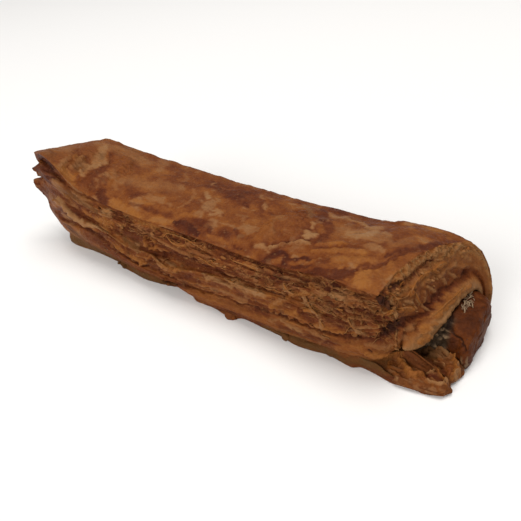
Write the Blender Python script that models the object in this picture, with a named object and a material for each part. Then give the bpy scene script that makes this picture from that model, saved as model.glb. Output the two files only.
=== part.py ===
"""Sausage roll: a folded puff pastry wrap with a sausage meat filling.

The wrap is one tube. A section is carried along the roll and, near both ends,
every line of the section runs on to its own stopping place, which makes the
fanned leaves of one end and the open mouth of the other. The filling is a log
that lies inside the wrap and swells out of the mouth.
"""
import bpy
import numpy as np

MM = 0.001

# Guide curves. Pairs of (place along the roll, size), in millimetres.
# The place is counted from the middle, towards the open mouth.
FRONT_LINE = ((-112, -15.0), (-95, -19.0), (-60, -22.2), (0, -23.2), (55, -23.6), (80, -21.4))
BACK_LINE = ((-112, 19.0), (-60, 20.0), (0, 20.5), (45, 20.5), (80, 19.5))
FRONT_RIM_HEIGHT = ((-112, 40.5), (-96, 40.0), (-80, 32.0), (-60, 28.8), (-20, 25.0),
                    (18, 25.0), (44, 30.4), (80, 30.5))
BACK_TOP_HEIGHT = ((-112, 35.0), (-94, 35.2), (-64, 32.0), (0, 29.3), (30, 29.2),
                   (62, 32.8), (80, 31.6))
CROWN = ((-112, 0.0), (-92, 0.8), (-70, 2.0), (60, 2.2), (80, 1.4))
UNDERSIDE_LIFT = ((-112, 3.0), (-96, 0.6), (-88, 0.0), (80, 0.0))

# Folds of the layered front, from the board up to the rim of the skin:
# (share of the rim height, half width as a share, reach outwards in mm).
FRONT_FOLDS = ((0.06, 0.08, 0.4), (0.19, 0.05, -2.2), (0.36, 0.16, 1.5),
               (0.57, 0.05, 1.1), (0.70, 0.08, -2.0), (0.86, 0.05, -0.6), (0.97, 0.04, 0.9))

# Where each line of the section stops. Pairs of (place round the section,
# place along the roll). Round the section: 0 to 1 is the front from the board
# to the rim, 1 to 2 the top, 2 to 3 the folded back, 3 to 4 the underside.
LEAF_END = ((0, -95), (0.20, -100.5), (0.60, -113.5), (0.72, -104), (0.84, -111.5), (0.91, -105.5),
            (1.0, -105), (1.4, -102), (2.0, -97), (2.5, -94), (3.0, -92), (4, -94.5))
MOUTH_END = ((0, 76), (0.15, 76.5), (0.22, 59.5), (0.60, 57), (1.0, 53), (1.35, 55.5),
             (1.65, 60), (2.0, 67.5), (2.4, 72.5), (3.0, 75), (3.5, 75), (4, 76))
LEAF_INNER_END = ((0, -92), (1, -96), (2, -92), (3, -90), (4, -92))
MOUTH_INNER_END = ((0, 74.5), (0.15, 75), (0.22, 61.5), (0.60, 63), (1.0, 66), (1.5, 69),
                   (2.0, 71), (2.5, 72.5), (3.0, 73.5), (4, 74.5))
LEAF_SPREAD_FROM = -84
MOUTH_SPREAD_FROM = 46

# Hollow that holds the filling.
HOLLOW_FLOOR = 3.0
HOLLOW_FRONT_WALL = 4.6
HOLLOW_BACK_WALL = 3.2
HOLLOW_ROOF_FRONT = ((-112, 19.0), (30, 17.0), (62, 8.6), (80, 8.2))
HOLLOW_ROOF_BACK = ((-112, 23.0), (30, 21.0), (68, 17.0), (80, 16.6))

# Relief over the cut faces, from the outer edge inwards:
# (share of the wall, swelling along the roll in mm).
CUT_RELIEF = ((0.22, 0.9), (0.45, -1.2), (0.66, -0.6), (0.88, 1.4))

# Filling.
CLEARANCE = ((-112, 0.5), (40, 0.5), (62, 1.1), (80, 1.1))
FILLING_LEAF_END = -97
FILLING_MOUTH_END = 80.0
FILLING_ROUNDING = 9.0
FILLING_BLUNTNESS = 2.6
FILLING_FRONT_DRAW = ((-112, 0.0), (44, 0.0), (68, 5.5), (80, 5.5))
FILLING_SAG = ((-112, 0.0), (75.6, 0.0), (77.6, 1.5), (80, 2.2))

# Mesh fineness.
FRONT_STEPS = 26
TOP_STEPS = 14
BACK_STEPS = 9
UNDERSIDE_STEPS = 7
STATIONS = 40
HOLLOW_STATIONS = 24
FILLING_STATIONS = 26
FILLING_ROUND = 28


def along(pairs, place):
    """Smooth curve through pairs, held level beyond both ends."""
    spots = np.array([pair[0] for pair in pairs], float)
    sizes = np.array([pair[1] for pair in pairs], float)
    slopes = np.diff(sizes) / np.diff(spots)
    tangent = np.zeros(len(spots))
    tangent[1:-1] = np.where(slopes[1:] * slopes[:-1] > 0, 0.5 * (slopes[1:] + slopes[:-1]), 0.0)
    place = np.clip(np.asarray(place, float), spots[0], spots[-1])
    cell = np.clip(np.searchsorted(spots, place, side="right") - 1, 0, len(spots) - 2)
    width = spots[cell + 1] - spots[cell]
    t = (place - spots[cell]) / width
    start = (2 * t ** 3 - 3 * t ** 2 + 1) * sizes[cell]
    finish = (3 * t ** 2 - 2 * t ** 3) * sizes[cell + 1]
    leave = (t ** 3 - 2 * t ** 2 + t) * width * tangent[cell]
    arrive = (t ** 3 - t ** 2) * width * tangent[cell + 1]
    return start + finish + leave + arrive


def wave(place, length, start):
    """Gentle uneven wave between -1 and 1."""
    return 0.6 * np.sin(place * 2 * np.pi / length + start) + 0.4 * np.sin(place * 5.1 / length + 2 * start)


def section_places():
    """Places round the section, each row of vertices one place."""
    front = np.linspace(0, 1, FRONT_STEPS, endpoint=False)
    top = np.linspace(1, 2, TOP_STEPS, endpoint=False)
    back = np.linspace(2, 3, BACK_STEPS, endpoint=False)
    under = np.linspace(3, 4, UNDERSIDE_STEPS, endpoint=False)
    return np.concatenate([front, top, back, under])


def outer_point(around, x):
    """Point of the outer skin, for places round the section and along the roll."""
    front_y = along(FRONT_LINE, x)
    back_y = along(BACK_LINE, x)
    rim_z = along(FRONT_RIM_HEIGHT, x)
    top_z = along(BACK_TOP_HEIGHT, x)
    floor_z = along(UNDERSIDE_LIFT, x)
    shoulder_y = back_y - 6.5
    heel_y = back_y - 4.5
    y = np.zeros_like(x)
    z = np.zeros_like(x)

    on_front = around < 1
    t = around
    reach = np.zeros_like(x)
    for share, half_width, size in FRONT_FOLDS:
        drift = 0.02 * wave(x, 70, 9 * share)
        reach = reach + size * np.exp(-((t - share - drift) / half_width) ** 2)
    foot = 1.2 * np.exp(-(t / 0.03) ** 2)
    y = np.where(on_front, front_y - reach + foot, y)
    z = np.where(on_front, floor_z + t * (rim_z - floor_z), z)

    on_top = (around >= 1) & (around < 2)
    t = around - 1
    rim_y = front_y - 0.9 * np.exp(-(t / 0.15) ** 2)
    bulge = np.sin(np.pi * np.clip(t, 0, 1))
    dome = along(CROWN, x) * bulge ** 0.8 + 0.7 * wave(x, 38, 1.0) * bulge
    y = np.where(on_top, rim_y + t * (shoulder_y - rim_y), y)
    z = np.where(on_top, rim_z + t * (top_z - rim_z) + dome, z)

    on_back = (around >= 2) & (around < 3)
    turn = (around - 2) * np.pi
    lean = 0.5 - 0.5 * np.cos(turn)
    back_edge = shoulder_y + (heel_y - shoulder_y) * lean
    y = np.where(on_back, back_edge + (back_y - back_edge) * np.sin(np.clip(turn, 0, np.pi)) ** 0.7, y)
    z = np.where(on_back, top_z + (floor_z - top_z) * lean, z)

    on_under = around >= 3
    t = around - 3
    y = np.where(on_under, heel_y + t * (front_y + 1.2 - heel_y), y)
    z = np.where(on_under, floor_z, z)
    return y, z


def inner_point(around, x, inset=0.0, front_draw=0.0):
    """Point of the hollow, matched place for place with the outer skin."""
    front_y = along(FRONT_LINE, x) + HOLLOW_FRONT_WALL + inset + front_draw
    back_y = along(BACK_LINE, x) - HOLLOW_BACK_WALL - inset
    roof_front = along(HOLLOW_ROOF_FRONT, x) - inset
    roof_back = along(HOLLOW_ROOF_BACK, x) - inset
    floor_z = along(UNDERSIDE_LIFT, x) + HOLLOW_FLOOR + inset
    mid_y = 0.5 * (front_y + back_y)
    half = 0.5 * (back_y - front_y)
    # One turn round the hollow: front, roof, back and floor take a quarter each.
    turn = (around - 0.5) * np.pi / 2
    side = -np.cos(turn)
    rise = np.sin(turn)
    side = np.sign(side) * np.abs(side) ** 0.75
    rise = np.sign(rise) * np.abs(rise) ** 0.8
    y = mid_y + half * side
    share = 0.5 + 0.5 * side
    share = share + (1 - share) * front_draw / (back_y - front_y + front_draw)
    roof_z = roof_front + share * (roof_back - roof_front)
    mid_z = 0.5 * (roof_z + floor_z)
    z = mid_z + 0.5 * (roof_z - floor_z) * rise
    return y, z


def spread_stations(around, steps, leaf_end, mouth_end):
    """Places along the roll for every row, fanned out to the row's own ends."""
    share = np.linspace(0, 1, steps)[None, :]
    share = 0.5 - 0.5 * np.cos(np.pi * share) * 0.35 - 0.5 * (1 - 2 * share) * 0.65
    start = along(leaf_end, around)[:, None]
    finish = along(mouth_end, around)[:, None]
    middle = -95 + share * (70 + 95)
    left = np.clip((LEAF_SPREAD_FROM - middle) / (LEAF_SPREAD_FROM + 95), 0, 1)
    right = np.clip((middle - MOUTH_SPREAD_FROM) / (70 - MOUTH_SPREAD_FROM), 0, 1)
    x = middle.copy() * np.ones_like(start)
    x = np.where(left > 0, LEAF_SPREAD_FROM + left * (start - LEAF_SPREAD_FROM), x)
    x = np.where(right > 0, MOUTH_SPREAD_FROM + right * (finish - MOUTH_SPREAD_FROM), x)
    return x


def wrap_mesh():
    """Closed tube: outer skin, cut face, hollow and the other cut face."""
    around = section_places()
    rows = len(around)
    columns = []
    outer_x = spread_stations(around, STATIONS, LEAF_END, MOUTH_END)
    outer_y, outer_z = outer_point(around[:, None] + 0 * outer_x, outer_x)
    inner_x = spread_stations(around, HOLLOW_STATIONS, LEAF_INNER_END, MOUTH_INNER_END)
    inner_y, inner_z = inner_point(around[:, None] + 0 * inner_x, inner_x)
    outer = np.stack([outer_x, outer_y, outer_z], -1)
    inner = np.stack([inner_x, inner_y, inner_z], -1)
    for step in range(STATIONS):
        columns.append(outer[:, step])
    columns += cut_face(outer[:, -1], inner[:, -1], 1)
    for step in reversed(range(HOLLOW_STATIONS)):
        columns.append(inner[:, step])
    columns += reversed(cut_face(outer[:, 0], inner[:, 0], -1))
    points = np.concatenate(columns)
    faces = []
    loops = len(columns)
    for loop in range(loops):
        following = (loop + 1) % loops
        for row in range(rows):
            beside = (row + 1) % rows
            faces.append((loop * rows + row, following * rows + row,
                          following * rows + beside, loop * rows + beside))
    return points, faces


def cut_face(outer_edge, inner_edge, outwards):
    """Loops across a cut face, swelling and sinking with its leaves."""
    loops = []
    wall = np.linalg.norm((inner_edge - outer_edge)[:, 1:], axis=1)
    strength = np.clip(wall / 9, 0.25, 1)
    for share, swelling in CUT_RELIEF:
        loop = outer_edge + share * (inner_edge - outer_edge)
        loop[:, 0] += outwards * swelling * strength
        loops.append(loop)
    return loops


def filling_mesh():
    """Log of sausage meat with rounded ends."""
    around = np.linspace(0, 4, FILLING_ROUND, endpoint=False)
    share = np.linspace(0, 1, FILLING_STATIONS)
    share = 0.5 - 0.5 * np.cos(np.pi * share)
    places = FILLING_LEAF_END + share * (FILLING_MOUTH_END - FILLING_LEAF_END)
    columns = []
    for place in places[1:-1]:
        x = np.full_like(around, place)
        inside_x = np.clip(x, -95, 70)
        y, z = inner_point(around, inside_x, along(CLEARANCE, x), along(FILLING_FRONT_DRAW, x))
        from_mouth = (FILLING_MOUTH_END - place) / FILLING_ROUNDING
        from_leaf = (place - FILLING_LEAF_END) / FILLING_ROUNDING
        nearest = np.clip(min(from_mouth, from_leaf), 0, 1)
        fullness = (1 - (1 - nearest) ** FILLING_BLUNTNESS) ** (1 / FILLING_BLUNTNESS)
        centre_y = 0.5 * (y.max() + y.min())
        centre_z = 0.5 * (z.max() + z.min())
        y = centre_y + (y - centre_y) * fullness - along(FILLING_SAG, x)
        z = centre_z + (z - centre_z) * fullness - along(FILLING_SAG, x)
        columns.append(np.stack([x, y, z], -1))
    tips = []
    for place, column in ((FILLING_LEAF_END, columns[0]), (FILLING_MOUTH_END, columns[-1])):
        tip = column.mean(axis=0)
        tip[0] = place
        tips.append(tip)
    points = np.concatenate(columns + [np.array(tips)])
    faces = []
    loops = len(columns)
    rows = len(around)
    for loop in range(loops - 1):
        for row in range(rows):
            beside = (row + 1) % rows
            faces.append((loop * rows + row, (loop + 1) * rows + row,
                          (loop + 1) * rows + beside, loop * rows + beside))
    for row in range(rows):
        beside = (row + 1) % rows
        faces.append((row, beside, loops * rows))
        faces.append(((loops - 1) * rows + beside, (loops - 1) * rows + row, loops * rows + 1))
    return points, faces


def material(name, colour, roughness):
    """Plain food material."""
    made = bpy.data.materials.new(name)
    made.use_nodes = True
    shader = made.node_tree.nodes["Principled BSDF"]
    shader.inputs["Base Color"].default_value = (*colour, 1.0)
    shader.inputs["Roughness"].default_value = roughness
    shader.inputs["Metallic"].default_value = 0.0
    return made


def add_object(name, points, faces, look):
    """One named solid."""
    mesh = bpy.data.meshes.new(name)
    mesh.from_pydata([tuple(point) for point in points], [], faces)
    mesh.materials.append(look)
    mesh.validate()
    mesh.update()
    made = bpy.data.objects.new(name, mesh)
    bpy.context.scene.collection.objects.link(made)
    return made


def main():
    for existing in list(bpy.data.objects):
        bpy.data.objects.remove(existing)
    wrap_points, wrap_faces = wrap_mesh()
    filling_points, filling_faces = filling_mesh()
    # The origin is the middle of the footprint, on the board.
    every = np.concatenate([wrap_points, filling_points])
    middle = 0.5 * (every.max(axis=0) + every.min(axis=0))
    middle[2] = every[:, 2].min()
    crust = material("crust", (0.25, 0.10, 0.035), 0.5)
    meat = material("meat", (0.16, 0.06, 0.03), 0.55)
    add_object("pastry", (wrap_points - middle) * MM, wrap_faces, crust)
    add_object("filling", (filling_points - middle) * MM, filling_faces, meat)


main()
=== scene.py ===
import bpy
import math
import numpy as np
from mathutils import Matrix, Vector


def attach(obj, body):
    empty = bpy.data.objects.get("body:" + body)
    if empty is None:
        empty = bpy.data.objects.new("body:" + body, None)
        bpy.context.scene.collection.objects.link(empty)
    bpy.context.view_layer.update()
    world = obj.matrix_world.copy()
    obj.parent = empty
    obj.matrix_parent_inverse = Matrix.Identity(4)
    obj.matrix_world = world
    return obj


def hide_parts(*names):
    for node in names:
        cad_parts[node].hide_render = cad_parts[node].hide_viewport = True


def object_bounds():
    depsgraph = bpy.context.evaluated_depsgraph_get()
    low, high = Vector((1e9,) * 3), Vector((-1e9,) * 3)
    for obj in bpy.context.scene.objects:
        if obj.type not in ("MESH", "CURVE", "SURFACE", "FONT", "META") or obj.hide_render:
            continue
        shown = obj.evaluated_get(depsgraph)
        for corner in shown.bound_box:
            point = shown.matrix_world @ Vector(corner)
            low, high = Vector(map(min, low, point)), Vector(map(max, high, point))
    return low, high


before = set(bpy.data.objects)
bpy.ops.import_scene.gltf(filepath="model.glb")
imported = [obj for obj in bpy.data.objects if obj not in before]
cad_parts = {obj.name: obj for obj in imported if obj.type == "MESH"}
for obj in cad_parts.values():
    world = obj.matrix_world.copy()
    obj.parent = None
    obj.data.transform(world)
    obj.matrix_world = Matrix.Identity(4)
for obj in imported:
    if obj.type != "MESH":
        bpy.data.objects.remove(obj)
cadLow, cadHigh = [np.array(corner) * 1000 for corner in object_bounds()]
print("frame loaded, box in mm", cadLow.round(1), cadHigh.round(1))

# Shapes are worked out in millimetres, counted along the roll from a little right of
# its middle, and moved into the frame's box at the end.
roll = {
    "mouthEnd": 80.0,
    "backEdge": 20.5,
    "frontLimit": -25.3,
    "frontLine": ((-112, -15.0), (-95, -19.0), (-60, -22.2), (0, -23.2), (55, -23.6), (80, -21.4)),
    "backLine": ((-112, 19.0), (-60, 20.0), (0, 20.5), (45, 20.5), (80, 19.5)),
    "backTop": ((-112, 35.0), (-94, 35.2), (-64, 32.0), (0, 29.3), (30, 29.2), (58, 32.4), (68, 30.8), (80, 29.6)),
    "crown": ((-112, 0.0), (-92, 0.8), (-70, 2.0), (60, 2.2), (80, 1.4)),
    "underside": ((-112, 3.0), (-96, 0.6), (-88, 0.0), (80, 0.0)),
}
shift = np.array([cadHigh[0] - roll["mouthEnd"], cadHigh[1] - roll["backEdge"], 0.0])


# ---- small helpers ---------------------------------------------------------

def along(pairs, place):
    # smooth curve through pairs of (place, size), level beyond both ends
    spots = np.array([pair[0] for pair in pairs], float)
    sizes = np.array([pair[1] for pair in pairs], float)
    slopes = np.diff(sizes) / np.diff(spots)
    tangent = np.zeros(len(spots))
    gentle = 3 * np.minimum(np.abs(slopes[1:]), np.abs(slopes[:-1]))  # so that the curve never overshoots
    middling = np.clip(0.5 * (slopes[1:] + slopes[:-1]), -gentle, gentle)
    tangent[1:-1] = np.where(slopes[1:] * slopes[:-1] > 0, middling, 0.0)
    place = np.clip(np.asarray(place, float), spots[0], spots[-1])
    cell = np.clip(np.searchsorted(spots, place, side="right") - 1, 0, len(spots) - 2)
    width = spots[cell + 1] - spots[cell]
    t = (place - spots[cell]) / width
    start = (2 * t ** 3 - 3 * t ** 2 + 1) * sizes[cell]
    finish = (3 * t ** 2 - 2 * t ** 3) * sizes[cell + 1]
    leave = (t ** 3 - 2 * t ** 2 + t) * width * tangent[cell]
    arrive = (t ** 3 - t ** 2) * width * tangent[cell + 1]
    return start + finish + leave + arrive


def ramp(value, low, high):
    # 0 below low, 1 above high, eased between
    t = np.clip((value - low) / (high - low), 0, 1)
    return t * t * (3 - 2 * t)


def scramble(corner, seed):
    # repeatable random numbers from whole-number grid corners
    mix = corner[..., 0] * 73856093 ^ corner[..., 1] * 19349663 ^ corner[..., 2] * 83492791 ^ seed * 2654435
    mix = (mix ^ (mix >> 13)) * 1274126177 & 0x7fffffff
    mix = (mix ^ (mix >> 16)) * 668265263 & 0x7fffffff
    return (mix ^ (mix >> 15)) / 0x7fffffff


def softNoise(points, seed):
    base = np.floor(points).astype(np.int64)
    t = points - base
    t = t * t * t * (t * (t * 6 - 15) + 10)
    total = 0.0
    for dx in (0, 1):
        for dy in (0, 1):
            for dz in (0, 1):
                weight = ((t[..., 0] if dx else 1 - t[..., 0]) * (t[..., 1] if dy else 1 - t[..., 1])
                          * (t[..., 2] if dz else 1 - t[..., 2]))
                total = total + weight * scramble(base + np.array([dx, dy, dz]), seed)
    return total * 2 - 1


def cloud(points, size, seed, octaves=3):
    # fractal noise, about -1 to 1; size may differ by direction
    points = points / np.asarray(size, float)
    total = 0.0
    strength = 1.0
    reach = 0.0
    for octave in range(octaves):
        total = total + strength * softNoise(points * 2.03 ** octave + 17.3 * octave, seed + octave)
        reach += strength
        strength *= 0.5
    return total / reach * 1.6


def cells(points, size, seed):
    # distance to the nearest and second nearest scattered point, and the cell's random number
    points = points / np.asarray(size, float)
    base = np.floor(points).astype(np.int64)
    nearest = np.full(points.shape[:-1], 9.0)
    second = np.full(points.shape[:-1], 9.0)
    owner = np.zeros(points.shape[:-1])
    for dx in (-1, 0, 1):
        for dy in (-1, 0, 1):
            for dz in (-1, 0, 1):
                corner = base + np.array([dx, dy, dz])
                spot = np.stack([scramble(corner, seed + axis) for axis in (1, 2, 3)], -1) + corner
                gap = np.sqrt(((points - spot) ** 2).sum(-1))
                closer = gap < nearest
                second = np.where(closer, nearest, np.minimum(second, gap))
                owner = np.where(closer, scramble(corner, seed + 9), owner)
                nearest = np.where(closer, gap, nearest)
    return nearest, second, owner


def flat3(a, b, c=0.0):
    a, b, c = np.broadcast_arrays(a, b, c)
    return np.stack([a, b, c], -1).astype(float)


def meshObject(name, points, faces, attributes=None, smooth=True):
    # points in millimetres of the roll's own layout, placed into the frame in metres
    mesh = bpy.data.meshes.new(name)
    placed = (np.asarray(points, float) + shift) * 0.001
    faces = np.asarray(faces, np.int32)
    mesh.vertices.add(len(placed))
    mesh.vertices.foreach_set("co", placed.astype(np.float32).ravel())
    mesh.loops.add(faces.size)
    mesh.loops.foreach_set("vertex_index", faces.ravel())
    mesh.polygons.add(len(faces))
    sides = faces.shape[1]
    mesh.polygons.foreach_set("loop_start", np.arange(0, faces.size, sides, dtype=np.int32))
    mesh.polygons.foreach_set("use_smooth", np.full(len(faces), smooth))
    mesh.update(calc_edges=True)
    mesh.validate()
    for label, values in (attributes or {}).items():
        layer = mesh.attributes.new(label, "FLOAT", "POINT")
        layer.data.foreach_set("value", np.asarray(values, np.float32).ravel())
    piece = bpy.data.objects.new(name, mesh)
    bpy.context.scene.collection.objects.link(piece)
    return piece


def gridFaces(loops, rows, closedLoops=True, closedRows=True):
    # quads between loops of rows points each
    loopIndex = np.arange(loops if closedLoops else loops - 1)
    rowIndex = np.arange(rows if closedRows else rows - 1)
    a, b = np.meshgrid(loopIndex, rowIndex, indexing="ij")
    nextA = (a + 1) % loops
    nextB = (b + 1) % rows
    return np.stack([a * rows + b, nextA * rows + b, nextA * rows + nextB, a * rows + nextB], -1).reshape(-1, 4)


class Node:
    # a socket that understands plain arithmetic
    def __init__(self, shader, socket):
        self.shader = shader
        self.socket = socket

    def math(self, operation, other=None, swap=False):
        values = [self] if other is None else ([other, self] if swap else [self, other])
        return self.shader.add("ShaderNodeMath", {"operation": operation}, *values)

    def __add__(self, other):
        return self.math("ADD", other)

    __radd__ = __add__

    def __sub__(self, other):
        return self.math("SUBTRACT", other)

    def __rsub__(self, other):
        return self.math("SUBTRACT", other, True)

    def __mul__(self, other):
        return self.math("MULTIPLY", other)

    __rmul__ = __mul__

    def __truediv__(self, other):
        return self.math("DIVIDE", other)

    def __pow__(self, other):
        return self.math("POWER", other)

    def output(self, number):
        return Node(self.shader, self.socket.node.outputs[number])

    def clamp(self):
        return self.shader.add("ShaderNodeClamp", {}, self)

    def step(self, low, high):
        return self.shader.add("ShaderNodeMapRange", {"interpolation_type": "SMOOTHSTEP"},
                               self, low, high, 0.0, 1.0)


class Tree:
    # nodes of any kind: type, settings first, then values or links
    def add(self, kind, settings, *values, out=0, **named):
        node = self.tree.nodes.new(kind)
        for key, value in settings.items():
            if key == "stops":
                self.fillRamp(node.color_ramp, value)
            else:
                setattr(node, key, value)
        for place, value in list(enumerate(values)) + list(named.items()):
            if value is None:
                continue
            socket = node.inputs[place if isinstance(place, int) else place.replace("_", " ")]
            self.feed(socket, value)
        return Node(self, node.outputs[out])

    def feed(self, socket, value):
        if isinstance(value, Node):
            self.tree.links.new(value.socket, socket)
        else:
            socket.default_value = value

    def fillRamp(self, ramp, stops):
        while len(ramp.elements) < len(stops):
            ramp.elements.new(0.5)
        for element, (position, colour) in zip(ramp.elements, stops):
            element.position = position
            element.color = (*colour, 1.0)


class Shader(Tree):
    # one material, built node by node
    def __init__(self, name):
        self.material = bpy.data.materials.new(name)
        self.material.use_nodes = True
        self.tree = self.material.node_tree
        self.surface = self.tree.nodes["Principled BSDF"]

    def place(self):
        return self.add("ShaderNodeTexCoord", {}, out=3)

    def noise(self, scale, detail=3.0, roughness=0.55, vector=None):
        return self.add("ShaderNodeTexNoise", {}, vector or self.place(), None, scale, detail, roughness)

    def attribute(self, name):
        return self.add("ShaderNodeAttribute", {"attribute_name": name}, out=2)

    def mix(self, factor, first, second):
        return self.add("ShaderNodeMix", {"data_type": "RGBA"}, factor, None, None, None, None, None,
                        self.colour(first), self.colour(second), out=2)

    def colour(self, value):
        return value if isinstance(value, Node) else (*value[:3], 1.0)

    def bump(self, height, distance, strength=1.0, normal=None):
        return self.add("ShaderNodeBump", {}, Strength=strength, Distance=distance, Height=height, Normal=normal)

    def finish(self, **sockets):
        for name, value in sockets.items():
            self.feed(self.surface.inputs[name.replace("_", " ")], value)
        return self.material


class Growth(Tree):
    # geometry nodes with named inputs
    def __init__(self, name):
        self.tree = bpy.data.node_groups.new(name, "GeometryNodeTree")
        self.tree.is_modifier = True
        self.inlet = self.tree.nodes.new("NodeGroupInput")
        self.outlet = self.tree.nodes.new("NodeGroupOutput")
        self.keys = {}
        self.host = self.input("Geometry", "Geometry")
        self.tree.interface.new_socket(name="Geometry", in_out="OUTPUT", socket_type="NodeSocketGeometry")

    def input(self, name, kind):
        socket = self.tree.interface.new_socket(name=name, in_out="INPUT", socket_type="NodeSocket" + kind)
        self.keys[name] = socket.identifier
        return Node(self, self.inlet.outputs[name])

    def random(self, low, high, seed):
        return self.add("FunctionNodeRandomValue", {"data_type": "FLOAT"}, None, None, low, high, None, None, None,
                        None, seed, out=1)

    def keep(self, geometry, name, value):
        return self.add("GeometryNodeStoreNamedAttribute", {"data_type": "FLOAT", "domain": "POINT"}, geometry, None,
                        name, value)

    def apply(self, name, source, **values):
        # run the tree on the source's data and keep the result as a plain mesh
        carrier = bpy.data.objects.new(name + "Carrier", source)
        bpy.context.scene.collection.objects.link(carrier)
        modifier = carrier.modifiers.new("growth", "NODES")
        modifier.node_group = self.tree
        for key, value in values.items():
            modifier[self.keys[key]] = value
        grown = bpy.data.meshes.new_from_object(carrier.evaluated_get(bpy.context.evaluated_depsgraph_get()))
        carrier.modifiers.clear()
        bpy.data.objects.remove(carrier)
        piece = bpy.data.objects.new(name, grown)
        bpy.context.scene.collection.objects.link(piece)
        return piece


def fit(piece, material, slotName, *nodes):
    piece.data.materials.clear()
    piece.data.materials.append(material)
    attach(piece, "root")
    if nodes:
        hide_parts(*nodes)
    return piece


# ---- the pastry wrap -------------------------------------------------------

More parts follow.
